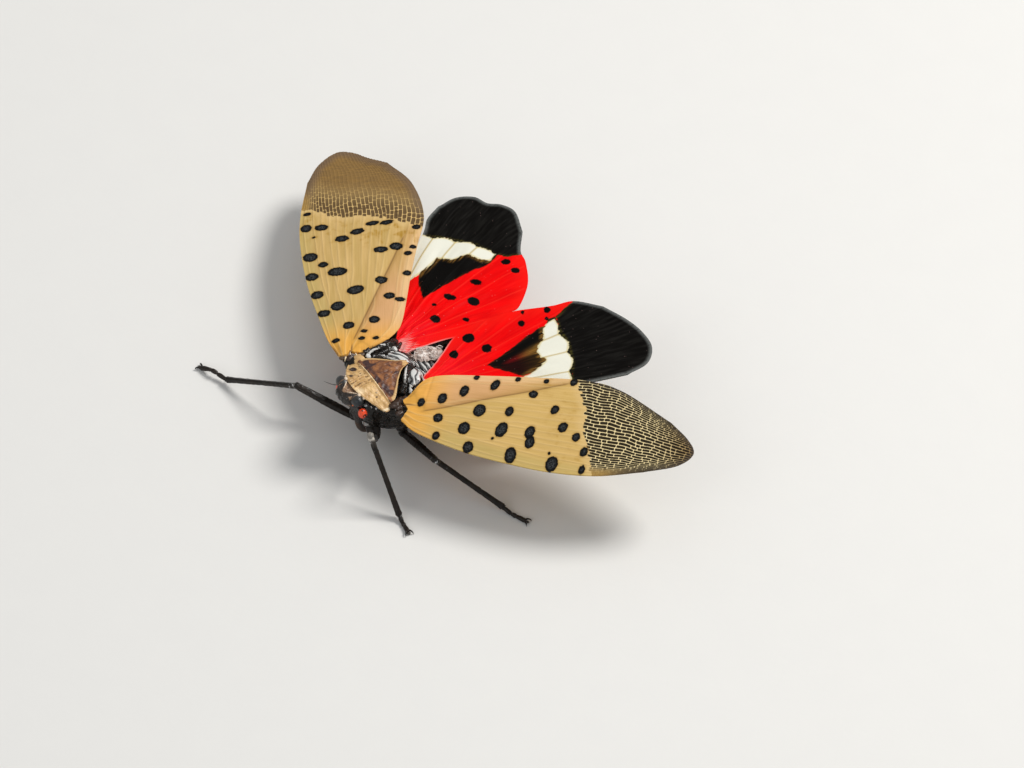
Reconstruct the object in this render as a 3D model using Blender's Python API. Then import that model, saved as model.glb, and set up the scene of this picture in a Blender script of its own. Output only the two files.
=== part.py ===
"""Spotted lanternfly, life size, standing with its wings spread.

Sizes are in millimetres until a mesh is made. A place on the body is (fwd, left, up):
fwd runs from the tail to the head, left is the insect's own left, and up is the height
over the floor. The head faces -Y. Every piece hangs from one empty, which puts the
middle of the base at the origin.
"""

import math

import bmesh
import bpy
import numpy as np
from mathutils import Vector

MM = 0.001
GAP = 0.3  # clear space between two pieces
FLOOR = 0.0

# Body, from head to tail
HEAD_FRONT = 4.45
HEAD_BACK = 3.2
HEAD_TOP = 6.85
HEAD_HALF = 0.88
EYE_CENTRE = (3.42, 6.48)  # fwd, up
EYE_SIZE = (0.48, 0.56, 0.46)  # half length, height of the dome, half height
BULB_CENTRE = (3.3, 1.75, 5.38)
BULB_RADIUS = 0.33
PRONOTUM_FRONT = 2.9
PRONOTUM_BACK = 1.45
PRONOTUM_HALF = 2.9
COLLAR_BOW = 0.09  # how fast its front edge falls back to the sides
KEEL_COLUMNS = (-0.45, 0.0, 0.45)  # keels on the face, as shares of its half width
FACE_COLUMNS = (-1.0, -0.85, -0.57, -0.45, -0.33, -0.12, 0.0, 0.12, 0.33, 0.45, 0.57, 0.85, 1.0)
NAPE_COLUMNS = (0.9, 0.5, 0.0, -0.5, -0.9)
DORSAL_TOP = 6.98
DORSAL_DROP = 0.13  # fall of the back's arch, per square of the distance from the middle
PLATE = 0.5
SCUTUM_FRONT = PRONOTUM_BACK - GAP
SCUTUM_TIP = -1.6
SCUTUM_HALF = 2.15
THORAX_BACK = -3.2
ABDOMEN_FRONT = THORAX_BACK - GAP
ABDOMEN_BACK = -12.6
ABDOMEN_RINGS = 8

# Wings
MEMBRANE = 0.5
VEIN_TOP = 0.14
VEIN_UNDER = 0.06
VEIN_WIDTH = 0.3
WING_ROWS = 15
SEAT_DEPTH = 0.6

# Legs
FEMUR_RADIUS = 0.3
TIBIA_RADIUS = 0.25
TARSUS_RADIUS = 0.21
LEG_SIDES = 8
FOOT_AXIS = TARSUS_RADIUS * 0.85  # height of the foot's middle line, which flattens its sole
CLAW = (0.62, 0.3)  # reach ahead of the foot, and spread to each side
SPINE = (0.62, 0.35)  # reach out of the shin, and lean along it
SPINE_PLACES = (0.25, 0.14)  # the first one's share of the shin, and the step to the next

COLOURS = {
    "tan": ((0.52, 0.37, 0.22), 0.55),
    "chestnut": ((0.16, 0.07, 0.04), 0.4),
    "black": ((0.02, 0.018, 0.018), 0.35),
    "leg": ((0.03, 0.026, 0.025), 0.45),
    "eye": ((0.035, 0.04, 0.05), 0.25),
    "orange": ((0.75, 0.09, 0.02), 0.4),
    "yellow": ((0.72, 0.47, 0.06), 0.5),
    "straw": ((0.62, 0.46, 0.25), 0.55),
    "red": ((0.72, 0.02, 0.02), 0.5),
}


# A vein is (place across the root, place across the tip, start of its ridge along the wing).
# Places across run from 0 at the leading edge to 1 at the trailing edge.
FORE_VEINS = (
    (0.05, 0.05, 0.0),
    (0.2, 0.17, 0.0),
    (0.3, 0.3, 0.25),
    (0.4, 0.43, 0.0),
    (0.5, 0.56, 0.3),
    (0.6, 0.7, 0.0),
    (0.7, 0.84, 0.35),
)
HIND_VEINS = (
    (0.05, 0.05, 0.0),
    (0.18, 0.17, 0.0),
    (0.31, 0.31, 0.25),
    (0.44, 0.45, 0.0),
    (0.57, 0.6, 0.25),
    (0.7, 0.74, 0.0),
    (0.84, 0.88, 0.0),
)
CLAVAL = (0.8, 0.92, 0.6)  # the suture's place at the root, where it ends, and how far along
ANAL = (0.9, 0.965, 0.55)

# Each wing lies in its own frame: root is where it leaves the body, reach is the way to its
# tip, and lift is how far its trailing edge rises for each millimetre across. Points of the
# outline are (along, across), with the leading edge at negative across.
WINGS = {
    "forewing_left": {
        "root": (0.44, 3.27, 6.0),
        "reach": (-16.05, 16.1, 1.2),
        "lift": 0.138,
        "arch": 0.25,
        "lead": [(0, -1.2), (1.5, -2.15), (5.3, -3.2), (9, -3.7), (12.5, -3.9), (16, -3.6), (19.5, -2.6)],
        "apex": [(19.5, -2.6), (21.9, -1.6), (22.9, -0.3), (22.2, 0.9), (20.6, 2.2)],
        "trail": [(0, 0.9), (0.9, 2.8), (2.3, 3.5), (5.3, 4.0), (9, 4.5), (12.8, 4.9), (16, 4.5),
                  (20.6, 2.2)],
        "veins": FORE_VEINS,
        "folds": (CLAVAL, ANAL),
        "seat": (-0.1, 0.9, 4.8),
        "colour": "straw",
    },
    "forewing_right": {
        "root": (1.18, -3.7, 6.0),
        "reach": (-11.12, -19.34, -1.4),
        "lift": 0.08,
        "arch": 0.25,
        "lead": [(0, -1.0), (1.6, -1.7), (4, -2.35), (8.2, -3.3), (12.8, -3.8), (16, -3.7), (19.5, -3.15)],
        "apex": [(19.5, -3.15), (21.4, -2.3), (22.7, -0.9), (22.6, 0.4), (21.9, 1.6), (21.2, 3.1)],
        "trail": [(0, 0.9), (1.0, 2.4), (2.0, 3.5), (3.5, 4.1), (8.4, 4.8), (11.4, 5.3), (15, 5.9),
                  (18.7, 5.0), (21.2, 3.1)],
        "veins": FORE_VEINS,
        "folds": (CLAVAL, ANAL),
        "seat": (-0.1, 0.9, 4.8),
        "colour": "straw",
    },
    "hindwing_left": {
        "root": (-2.3, 1.5, 5.5),
        "reach": (-16.7, 6.2, 0.8),
        "lift": 0.0,
        "arch": 0.0,
        "lead": [(0, -0.9), (4, -2.2), (8, -2.9), (12, -2.75), (15.5, -2.55)],
        "apex": [(15.5, -2.55), (17.2, -1.75), (17.9, -0.2), (17.5, 1.5), (16.5, 3.1), (15, 4.8)],
        "trail": [(0, 0.6), (2, 2.4), (3.6, 4.05), (5.8, 5.3), (8, 5.85), (11.1, 5.75), (12.9, 5.85),
                  (15, 4.8)],
        "veins": HIND_VEINS,
        "folds": (),
        "seat": (-0.7, 0.5, 4.4),
        "colour": "red",
    },
    "hindwing_right": {
        "root": (-2.9, -2.5, 4.95),
        "reach": (-15.0, -8.9, -0.3),
        "lift": 0.0,
        "arch": 0.0,
        "lead": [(0, -0.9), (4, -2.8), (8, -4.1), (11.9, -4.8), (13.4, -5.25), (15, -5.15)],
        "apex": [(15, -5.15), (16.5, -4.45), (17.3, -3.2), (17.2, -2.0), (17.6, -0.9), (17.4, 0.4),
                 (15.8, 1.9)],
        "trail": [(0, 0.9), (2.2, 2.2), (4.2, 4.9), (6.2, 6.3), (8.2, 6.3), (10, 5.4), (11.5, 4.7),
                  (13.1, 3.6), (13.9, 2.75), (15.8, 1.9)],
        "veins": HIND_VEINS,
        "folds": (),
        "seat": (-0.6, 0.6, 3.6),
        "colour": "red",
    },
}

# Joints of each leg are its coxa on the body, trochanter, knee and ankle.
LEGS = {
    "leg_fore_left": {
        "joints": ((1.9, 0.75, 1.75), (2.15, 1.45, 1.75), (4.2, 4.4, 6.0), (3.96, 8.28, 0.5)),
        "toe": (4.13, 9.9),
        "spines": 0,
    },
    "leg_fore_right": {
        "joints": ((1.9, -0.75, 1.55), (2.25, -1.5, 1.6), (5.25, -4.93, 3.5), (8.23, -10.7, 0.5)),
        "toe": (9.2, -13.1),
        "spines": 0,
    },
    "leg_mid_left": {
        "joints": ((-0.3, 0.75, 1.25), (-0.3, 1.7, 1.25), (-0.06, 6.9, 3.2), (-3.29, 11.7, 0.5)),
        "toe": (-4.2, 13.6),
        "spines": 0,
    },
    "leg_mid_right": {
        "joints": ((-0.3, -0.75, 1.25), (-0.3, -1.7, 1.25), (-0.8, -6.2, 3.2), (-2.6, -11.6, 0.5)),
        "toe": (-3.2, -13.7),
        "spines": 0,
    },
    "leg_hind_left": {
        "joints": ((-2.3, 0.75, 1.3), (-2.4, 1.8, 1.35), (-4.5, 5.3, 3.6), (-10.8, 9.6, 0.5)),
        "toe": (-12.9, 10.6),
        "spines": 5,
    },
    "leg_hind_right": {
        "joints": ((-2.3, -0.75, 1.3), (-2.4, -1.8, 1.35), (-4.5, -5.3, 3.4), (-10.8, -9.6, 0.5)),
        "toe": (-12.9, -10.6),
        "spines": 5,
    },
}


def clear_scene():
    for old in list(bpy.data.objects):
        bpy.data.objects.remove(old, do_unlink=True)


def material(name):
    """The part's own colour, made once."""
    if name in bpy.data.materials:
        return bpy.data.materials[name]
    colour, roughness = COLOURS[name]
    made = bpy.data.materials.new(name)
    made.use_nodes = True
    shader = made.node_tree.nodes["Principled BSDF"]
    shader.inputs["Base Color"].default_value = (*colour, 1.0)
    shader.inputs["Roughness"].default_value = roughness
    shader.inputs["Metallic"].default_value = 0.0
    return made


def to_world(point):
    """Body millimetres to metres, with the head towards -Y."""
    fwd, left, up = point
    return (left * MM, -fwd * MM, up * MM)


def new_object(name, shape, colour, smooth_angle=40):
    """One mesh object from (points, faces), with all its faces turned outwards."""
    points, faces = shape
    mesh = bpy.data.meshes.new(name)
    mesh.from_pydata([to_world(p) for p in points], [], faces)
    work = bmesh.new()
    work.from_mesh(mesh)
    bmesh.ops.triangulate(work, faces=work.faces)
    bmesh.ops.recalc_face_normals(work, faces=work.faces)
    work.to_mesh(mesh)
    work.free()
    mesh.materials.append(material(colour))
    mesh.shade_smooth()
    mesh.set_sharp_from_angle(angle=math.radians(smooth_angle))
    made = bpy.data.objects.new(name, mesh)
    bpy.context.scene.collection.objects.link(made)
    return made


def largest_surface(mesh):
    """Keeps only the closed surface with the most faces."""
    work = bmesh.new()
    work.from_mesh(mesh)
    left_over = set(work.faces)
    groups = []
    while left_over:
        stack = [left_over.pop()]
        group = list(stack)
        while stack:
            face = stack.pop()
            for edge in face.edges:
                for other in edge.link_faces:
                    if other in left_over:
                        left_over.remove(other)
                        stack.append(other)
                        group.append(other)
        groups.append(group)
    groups.sort(key=len)
    for group in groups[:-1]:
        bmesh.ops.delete(work, geom=group, context="FACES")
    bmesh.ops.triangulate(work, faces=work.faces)
    work.to_mesh(mesh)
    work.free()


def fused(name, shapes, colour):
    """One object from several closed shapes that run into one another."""
    body = new_object(name, shapes[0], colour)
    if len(shapes) == 1:
        return body
    extras = bpy.data.collections.new(name + "_extras")
    for number, shape in enumerate(shapes[1:]):
        extra = new_object(f"{name}_extra_{number}", shape, colour)
        bpy.context.scene.collection.objects.unlink(extra)
        extras.objects.link(extra)
    union = body.modifiers.new("union", "BOOLEAN")
    union.operation = "UNION"
    union.operand_type = "COLLECTION"
    union.collection = extras
    union.solver = "EXACT"
    graph = bpy.context.evaluated_depsgraph_get()
    joined = bpy.data.meshes.new_from_object(body.evaluated_get(graph))
    body.modifiers.clear()
    largest_surface(joined)
    body.data = joined
    for extra in list(extras.objects):
        bpy.data.objects.remove(extra, do_unlink=True)
    bpy.data.collections.remove(extras)
    return body


def closed_loft(rings):
    """Skin over rings of equal counts, with a fan over each end."""
    count = len(rings[0])
    points = [tuple(p) for ring in rings for p in ring]
    faces = []
    for row in range(len(rings) - 1):
        for i in range(count):
            a = row * count + i
            b = row * count + (i + 1) % count
            faces.append((a, b, b + count, a + count))
    for row in (0, len(rings) - 1):
        middle = np.mean(np.array(rings[row], float), axis=0)
        points.append(tuple(middle))
        for i in range(count):
            faces.append((row * count + i, row * count + (i + 1) % count, len(points) - 1))
    return points, faces


def smooth_through(points, steps):
    """Points on a Catmull-Rom curve through these ones, evenly spread by its length."""
    knots = np.array(points, float)
    padded = np.vstack([2 * knots[0] - knots[1], knots, 2 * knots[-1] - knots[-2]])
    fine = []
    for i in range(len(knots) - 1):
        p0, p1, p2, p3 = padded[i:i + 4]
        for t in np.linspace(0, 1, 24, endpoint=False):
            fine.append(0.5 * (2 * p1 + (p2 - p0) * t + (2 * p0 - 5 * p1 + 4 * p2 - p3) * t ** 2
                               + (3 * p1 - p0 - 3 * p2 + p3) * t ** 3))
    fine.append(knots[-1])
    fine = np.array(fine)
    length = np.concatenate([[0], np.cumsum(np.linalg.norm(np.diff(fine, axis=0), axis=1))])
    wanted = np.linspace(0, length[-1], steps)
    return np.column_stack([np.interp(wanted, length, fine[:, k]) for k in range(fine.shape[1])])


def body_ring(fwd, half, low, high, power=2.6, bow=0.0, sides=20):
    """A squarish oval across the body. Its sides stand bow * left^2 behind its middle."""
    middle = (low + high) / 2
    rise = (high - low) / 2
    ring = []
    for i in range(sides):
        angle = 2 * math.pi * i / sides
        c = math.cos(angle)
        s = math.sin(angle)
        left = half * math.copysign(abs(c) ** (2 / power), c)
        up = middle + rise * math.copysign(abs(s) ** (2 / power), s)
        ring.append((fwd - bow * left * left, left, up))
    return ring


def arched_plate(rows, thickness):
    """A closed plate from rows of points on its upper side, split alike on both faces."""
    top = np.array(rows, float)
    down = np.cross(np.gradient(top, axis=0), np.gradient(top, axis=1))
    down /= np.linalg.norm(down, axis=2, keepdims=True)
    down *= -np.sign(down[:, :, 2:3])
    return sheet_between(top, top + down * thickness)


def sheet_between(top, under):
    """A closed sheet between two grids of points of one size."""
    rows, columns = top.shape[:2]
    points = [tuple(p) for p in top.reshape(-1, 3)] + [tuple(p) for p in under.reshape(-1, 3)]
    shift = rows * columns
    faces = []
    for r in range(rows - 1):
        for c in range(columns - 1):
            a = r * columns + c
            b = a + 1
            d = a + columns
            e = d + 1
            faces += [(a, b, e), (a, e, d)]
            faces += [(a + shift, e + shift, b + shift), (a + shift, d + shift, e + shift)]
    rim = list(range(columns))
    rim += [r * columns + columns - 1 for r in range(1, rows)]
    rim += [(rows - 1) * columns + c for c in range(columns - 2, -1, -1)]
    rim += [r * columns for r in range(rows - 2, 0, -1)]
    for i, a in enumerate(rim):
        b = rim[(i + 1) % len(rim)]
        faces += [(a, a + shift, b + shift), (a, b + shift, b)]
    return points, faces


def tube(path, radii, sides=LEG_SIDES, start_cut=None, end_cut=None, floor=None):
    """A round rod along a path. A cut is (point, normal) of the plane that ends it."""
    centres = [Vector(p) for p in path]
    rings = []
    for i, centre in enumerate(centres):
        before = centres[max(i - 1, 0)]
        after = centres[min(i + 1, len(centres) - 1)]
        along = (after - before).normalized()
        side = along.cross(Vector((0, 0, 1))).normalized()
        over = side.cross(along)
        ring = []
        for k in range(sides):
            angle = 2 * math.pi * (k + 0.5) / sides
            ring.append(centre + radii[i] * (math.cos(angle) * side + math.sin(angle) * over))
        rings.append(ring)
    for row, cut, way in ((0, start_cut, centres[1] - centres[0]), (-1, end_cut, centres[-1] - centres[-2])):
        if cut:
            point, normal = cut
            rings[row] = [p + way * ((point - p).dot(normal) / way.dot(normal)) for p in rings[row]]
    if floor is not None:
        rings = [[Vector((p.x, p.y, max(p.z, floor))) for p in ring] for ring in rings]
    return closed_loft(rings)


def dome(centre, size, way, sides=14, rows=5):
    """Half an ellipsoid that bulges to one side, flat where it meets the head."""
    rings = []
    for row in range(rows):
        angle = 0.5 * math.pi * row / rows
        ring = []
        for k in range(sides):
            turn = 2 * math.pi * k / sides
            ring.append((centre[0] + size[0] * math.cos(angle) * math.cos(turn),
                         centre[1] + way * size[1] * math.sin(angle),
                         centre[2] + size[2] * math.cos(angle) * math.sin(turn)))
        rings.append(ring)
    points, faces = closed_loft(rings)
    tip = (centre[0], centre[1] + way * size[1], centre[2])
    points[-1] = tip
    return points, faces


def ball(centre, radius, sides=10, rows=6):
    rings = []
    for row in range(1, rows):
        angle = math.pi * row / rows - math.pi / 2
        rings.append([(centre[0] + radius * math.cos(angle) * math.cos(2 * math.pi * k / sides),
                       centre[1] + radius * math.cos(angle) * math.sin(2 * math.pi * k / sides),
                       centre[2] + radius * math.sin(angle)) for k in range(sides)])
    points, faces = closed_loft(rings)
    points[-2] = (centre[0], centre[1], centre[2] - radius)
    points[-1] = (centre[0], centre[1], centre[2] + radius)
    return points, faces


def head_ring(back, front, half, up, keel=0.0, power=3.0):
    """A level section of the head, blunt in front, where three keels stand out."""
    middle = (back + front) / 2
    reach = (front - back) / 2
    ring = []
    for side, columns in ((1, FACE_COLUMNS), (-1, NAPE_COLUMNS)):
        for x in columns:
            left = half * x
            fwd = middle + side * reach * (1 - abs(x) ** power) ** (1 / power)
            if side == 1 and x in KEEL_COLUMNS:
                fwd += keel
            ring.append((fwd - COLLAR_BOW * left * left, left, up))
    return ring


def build_head():
    rings = [
        head_ring(2.55, 3.05, 0.3, 2.75),
        head_ring(2.6, 3.4, 0.5, 3.3),
        head_ring(2.85, 3.85, 0.75, 4.1, keel=0.04),
        head_ring(HEAD_BACK - 0.15, 4.2, 0.98, 4.9, keel=0.1),
        head_ring(HEAD_BACK, 4.4, 1.0, 5.6, keel=0.12),
        head_ring(HEAD_BACK, HEAD_FRONT, HEAD_HALF, 6.1, keel=0.12),
        head_ring(HEAD_BACK, HEAD_FRONT, HEAD_HALF, 6.55, keel=0.1),
        head_ring(HEAD_BACK + 0.05, HEAD_FRONT - 0.1, HEAD_HALF - 0.04, HEAD_TOP - 0.08, keel=0.05),
        head_ring(HEAD_BACK + 0.2, HEAD_FRONT - 0.3, HEAD_HALF - 0.2, HEAD_TOP),
    ]
    new_object("head", closed_loft(rings), "tan")
    beak = [(2.72, 0, 2.4), (2.55, 0, 1.9), (2.1, 0, 1.35), (1.2, 0, 1.15), (-1.0, 0, 1.1), (-2.7, 0, 1.1)]
    new_object("rostrum", tube(beak, (0.27, 0.27, 0.26, 0.25, 0.24, 0.12)), "black")
    for name, way in (("left", 1), ("right", -1)):
        build_side_of_head(name, way)


def build_side_of_head(name, way):
    """An eye, and below it the antenna: a short stalk, a round bulb and a bristle."""
    base = HEAD_HALF + GAP
    fwd, up = EYE_CENTRE
    new_object(f"eye_{name}", dome((fwd, way * base, up), EYE_SIZE, way), "eye")
    centre = (BULB_CENTRE[0], way * BULB_CENTRE[1], BULB_CENTRE[2])
    stalk = [(centre[0], way * 1.28, centre[2]), (centre[0], way * 1.7, centre[2])]
    bristle = [(centre[0] + 0.05, way * 1.85, centre[2] - 0.03),
               (centre[0] + 0.3, way * 2.4, centre[2] - 0.1),
               (centre[0] + 0.7, way * 3.0, centre[2] - 0.05)]
    pieces = [ball(centre, BULB_RADIUS), tube(stalk, (0.2, 0.2)), tube(bristle, (0.12, 0.08, 0.04), sides=5)]
    fused(f"antenna_{name}", pieces, "orange")


def build_thorax():
    """The dark box of the thorax, with a raised seat for the root of each wing."""
    rings = [
        body_ring(2.62, 1.4, 3.2, 5.7, bow=COLLAR_BOW),
        body_ring(2.45, 1.75, 2.8, 5.95, bow=COLLAR_BOW),
        body_ring(1.6, 2.35, 2.35, 6.08, bow=COLLAR_BOW),
        body_ring(0.6, 2.8, 2.0, 6.15, bow=0.05),
        body_ring(-0.6, 2.9, 1.9, 6.1),
        body_ring(-1.5, 2.85, 1.9, 6.0),
        body_ring(-2.15, 2.7, 1.9, 5.75, bow=-0.08),
        body_ring(-2.45, 2.65, 1.95, 4.6, bow=-0.04),
        body_ring(THORAX_BACK, 2.5, 2.0, 4.35),
    ]
    seats = [wing_seat(WINGS[name]) for name in WINGS]
    fused("thorax", [closed_loft(rings), *seats], "black")


def build_back_plates():
    """The collar behind the head, and the three-cornered shield between the wings."""
    collar = []
    for t in np.linspace(0, 1, 6):
        row = []
        for left in np.linspace(-PRONOTUM_HALF, PRONOTUM_HALF, 15):
            front = PRONOTUM_FRONT - COLLAR_BOW * left * left
            back = PRONOTUM_BACK - 0.02 * left * left
            lip = 0.06 * math.cos(2 * math.pi * t)
            keel = 0.1 * math.exp(-(left / 0.25) ** 2)
            up = DORSAL_TOP - DORSAL_DROP * left * left + lip + keel
            row.append((back + (front - back) * t, left, up))
        collar.append(row)
    new_object("pronotum", arched_plate(collar, PLATE), "tan")
    shield = []
    for t in np.linspace(0, 1, 9):
        half = SCUTUM_HALF * (1 - t) ** 0.85 + 0.16
        row = []
        for s in np.linspace(-1, 1, 13):
            left = half * s
            fwd = SCUTUM_FRONT - 0.02 * left * left + (SCUTUM_TIP - SCUTUM_FRONT) * t
            rim = 0.08 * max(0.0, abs(s) * 3 - 2)
            up = DORSAL_TOP + 0.05 - 0.11 * left * left + 0.1 * math.sin(math.pi * t) + rim
            row.append((fwd, left, up))
        shield.append(row)
    new_object("mesonotum", arched_plate(shield, PLATE), "chestnut")


def build_abdomen():
    """Eight rings, each one lapping a little over the next, drawn in to the tail."""
    # Share of its length, half width, and the heights of its belly and back
    stations = [(0.0, 2.35, 1.75, 4.3), (0.15, 2.85, 1.3, 4.32), (0.4, 3.05, 0.95, 4.32),
                (0.65, 2.75, 1.0, 4.2), (0.85, 1.8, 1.4, 3.9), (0.96, 0.9, 1.9, 3.5), (1.0, 0.45, 2.3, 3.2)]
    columns = list(zip(*stations))
    rings = []
    for ring in range(ABDOMEN_RINGS):
        for part, swell in ((0.0, 0.965), (0.5, 0.992), (0.94, 1.0)):
            place = (ring + part) / ABDOMEN_RINGS
            half, low, high = (float(np.interp(place, columns[0], c)) for c in columns[1:])
            middle = (low + high) / 2
            rise = (high - low) / 2 * swell
            fwd = ABDOMEN_FRONT + (ABDOMEN_BACK - ABDOMEN_FRONT) * place
            rings.append(body_ring(fwd, half * swell, middle - rise, middle + rise, power=2.3))
    rings.append(body_ring(ABDOMEN_BACK, 0.4, 2.4, 3.1, power=2.0))
    new_object("abdomen", closed_loft(rings), "yellow")


def wing_frame(wing):
    """The root, and the ways along the wing, across it and out of its upper face."""
    along = Vector(wing["reach"]).normalized()
    side = 1 if wing["reach"][1] > 0 else -1
    across = along.cross(Vector((0, 0, 1))).normalized() * -side
    across = across + Vector((0, 0, wing["lift"]))
    across = (across - along * across.dot(along)).normalized()
    over = along.cross(across).normalized()
    if over.z < 0:
        over = -over
    return Vector(wing["root"]), along, across, over


def wing_seat(wing):
    """An upright block in the thorax whose outer face meets the wing's root."""
    root, along, across, over = wing_frame(wing)
    lead, trail, low = wing["seat"]
    flat_along = Vector((along.x, along.y, 0)).normalized()
    flat_across = Vector((across.x, across.y, 0)).normalized()
    high = root.z + MEMBRANE / 2
    rings = []
    for up in (low, high):
        corners = ((-GAP - SEAT_DEPTH, lead), (-GAP - SEAT_DEPTH, trail), (-GAP, trail), (-GAP, lead))
        rings.append([(*(root + flat_along * a + flat_across * c).xy, up) for a, c in corners])
    return closed_loft(rings)


def vein_columns(wing, along, chord):
    """Places across the wing, and the height of the vein there, for one row of points."""
    half = min(VEIN_WIDTH / 2 / chord, 0.012 + 0.02 * along)
    lines = []
    for root, tip, start in wing["veins"]:
        strength = min(1.0, max(0.0, (along - start) / 0.08)) if start else 1.0
        lines.append((root + (tip - root) * along, strength))
    for root, end, stop in wing["folds"]:
        place = root + (end - root) * min(1.0, along / stop)
        lines.append((place, 1.0 if along <= stop else 0.4))
    columns = [(0.0, 0.0)]
    for place, strength in lines:
        columns += [(place - half, 0.0), (place, strength), (place + half, 0.0)]
    columns.append((1.0, 0.0))
    return columns


def coons_point(edges, s, t):
    """A point inside four edge curves. s runs across the wing, t along it."""
    lead, trail, root, apex = edges
    ruled = (1 - s) * lead(t) + s * trail(t) + (1 - t) * root(s) + t * apex(s)
    corners = (1 - s) * (1 - t) * root(0) + s * (1 - t) * root(1) + (1 - s) * t * apex(0) + s * t * apex(1)
    return ruled - corners


def curve_function(points):
    """A curve as a function of the share of its length, from 0 to 1."""
    fine = smooth_through(points, 121)
    share = np.linspace(0, 1, len(fine))
    return lambda t: np.array([np.interp(t, share, fine[:, 0]), np.interp(t, share, fine[:, 1])])


def build_wing(name, wing):
    """A thin membrane in its own plane, with each vein raised along its length."""
    root, along, across, over = wing_frame(wing)
    lead = curve_function(wing["lead"])
    trail = curve_function(wing["trail"])
    apex = curve_function(wing["apex"])
    edges = (lead, trail, lambda s: lead(0) * (1 - s) + trail(0) * s, apex)
    top = []
    under = []
    for t in np.linspace(0, 1, WING_ROWS):
        chord = float(np.linalg.norm(coons_point(edges, 1.0, t) - coons_point(edges, 0.0, t)))
        top_row = []
        under_row = []
        for s, strength in vein_columns(wing, t, chord):
            a, c = coons_point(edges, s, t)
            height = wing["arch"] * math.sin(math.pi * s) * math.sin(math.pi * min(1.0, t + 0.1))
            middle = root + along * float(a) + across * float(c) + over * height
            fade = strength * (0.45 + 0.55 * math.sin(math.pi * min(1.0, 0.15 + t * 0.85)))
            top_row.append(middle + over * (MEMBRANE / 2 + VEIN_TOP * fade))
            under_row.append(middle - over * (MEMBRANE / 2 + VEIN_UNDER * fade))
        top.append(top_row)
        under.append(under_row)
    return new_object(name, sheet_between(np.array(top), np.array(under)), wing["colour"])


def mitre(before, corner, after):
    """The plane that halves a bend, as the normal in the way of travel."""
    into = (corner - before).normalized()
    out = (after - corner).normalized()
    return (into + out).normalized()


def between(a, b, share):
    return a + (b - a) * share


def build_leg(name, leg):
    coxa, hip, knee, ankle = (Vector(p) for p in leg["joints"])
    toe = Vector((*leg["toe"], FLOOR + FOOT_AXIS))
    bend = mitre(hip, knee, ankle)
    thigh = [coxa, hip, between(hip, knee, 0.12), between(hip, knee, 0.5), between(hip, knee, 0.86), knee]
    sizes = [1.05, 1.15, 0.95, 1.1, 0.9, 0.95]
    new_object(f"{name}_femur", tube(thigh, [FEMUR_RADIUS * k for k in sizes],
                                     end_cut=(knee - bend * GAP / 2, bend)), "leg")
    foot_bend = mitre(knee, ankle, toe)
    shin = [knee, between(knee, ankle, 0.14), between(knee, ankle, 0.5), between(knee, ankle, 0.9), ankle]
    sizes = [1.05, 1.0, 0.9, 0.95, 1.05]
    rod = tube(shin, [TIBIA_RADIUS * k for k in sizes], start_cut=(knee + bend * GAP / 2, bend),
               end_cut=(ankle - foot_bend * GAP / 2, foot_bend))
    outward = (ankle - knee).cross(Vector((0, 0, 1))).normalized()
    thorns = []
    for k in range(leg["spines"]):
        root = between(knee, ankle, SPINE_PLACES[0] + SPINE_PLACES[1] * k)
        way = -outward if knee.y > 0 else outward
        tip = root + way * SPINE[0] + (ankle - knee).normalized() * SPINE[1]
        thorns.append(tube([root, between(root, tip, 0.3), tip], (0.12, 0.11, 0.03), sides=5))
    fused(f"{name}_tibia", [rod, *thorns], "leg")
    build_foot(name, ankle, toe, foot_bend)


def build_foot(name, ankle, toe, bend):
    """Three short joints flat on the floor, with a pair of hooked claws."""
    low = FLOOR + FOOT_AXIS
    path = [ankle]
    sizes = [1.05]
    for share, swell in ((0.22, 1.05), (0.34, 0.8), (0.48, 1.05), (0.58, 0.8), (0.7, 1.1), (0.97, 1.05)):
        point = between(ankle, toe, share)
        sink = min(1.0, share / 0.34)
        path.append(Vector((point.x, point.y, ankle.z + (low - ankle.z) * sink)))
        sizes.append(swell)
    rod = tube(path, [TARSUS_RADIUS * k for k in sizes], start_cut=(ankle + bend * GAP / 2, bend),
               floor=FLOOR)
    ahead = Vector((toe.x - ankle.x, toe.y - ankle.y, 0)).normalized()
    side = ahead.cross(Vector((0, 0, 1)))
    claws = []
    for way in (-1, 1):
        start = Vector((*(toe - ahead * 0.25).xy, low))
        reach = ahead * CLAW[0] + side * way * CLAW[1]
        bow = start + reach * 0.7 + Vector((0, 0, 0.08))
        tip = start + reach - Vector((0, 0, low - 0.06))
        claws.append(tube([start, bow, tip], (0.12, 0.1, 0.03), sides=5, floor=FLOOR))
    fused(f"{name}_tarsus", [rod, *claws], "leg")


def stand_on_origin():
    """Hangs all pieces from one empty that moves the middle of the base to the origin."""
    pieces = [o for o in bpy.context.scene.objects if o.type == "MESH"]
    corners = np.array([v.co for o in pieces for v in o.data.vertices])
    low = corners.min(axis=0)
    high = corners.max(axis=0)
    base = bpy.data.objects.new("lanternfly", None)
    base.location = (-(low[0] + high[0]) / 2, -(low[1] + high[1]) / 2, -low[2])
    bpy.context.scene.collection.objects.link(base)
    for piece in pieces:
        piece.parent = base


clear_scene()
build_head()
build_thorax()
build_back_plates()
build_abdomen()
for wing_name, wing_values in WINGS.items():
    build_wing(wing_name, wing_values)
for leg_name, leg_values in LEGS.items():
    build_leg(leg_name, leg_values)
stand_on_origin()
bpy.context.view_layer.update()
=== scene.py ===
import math

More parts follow.
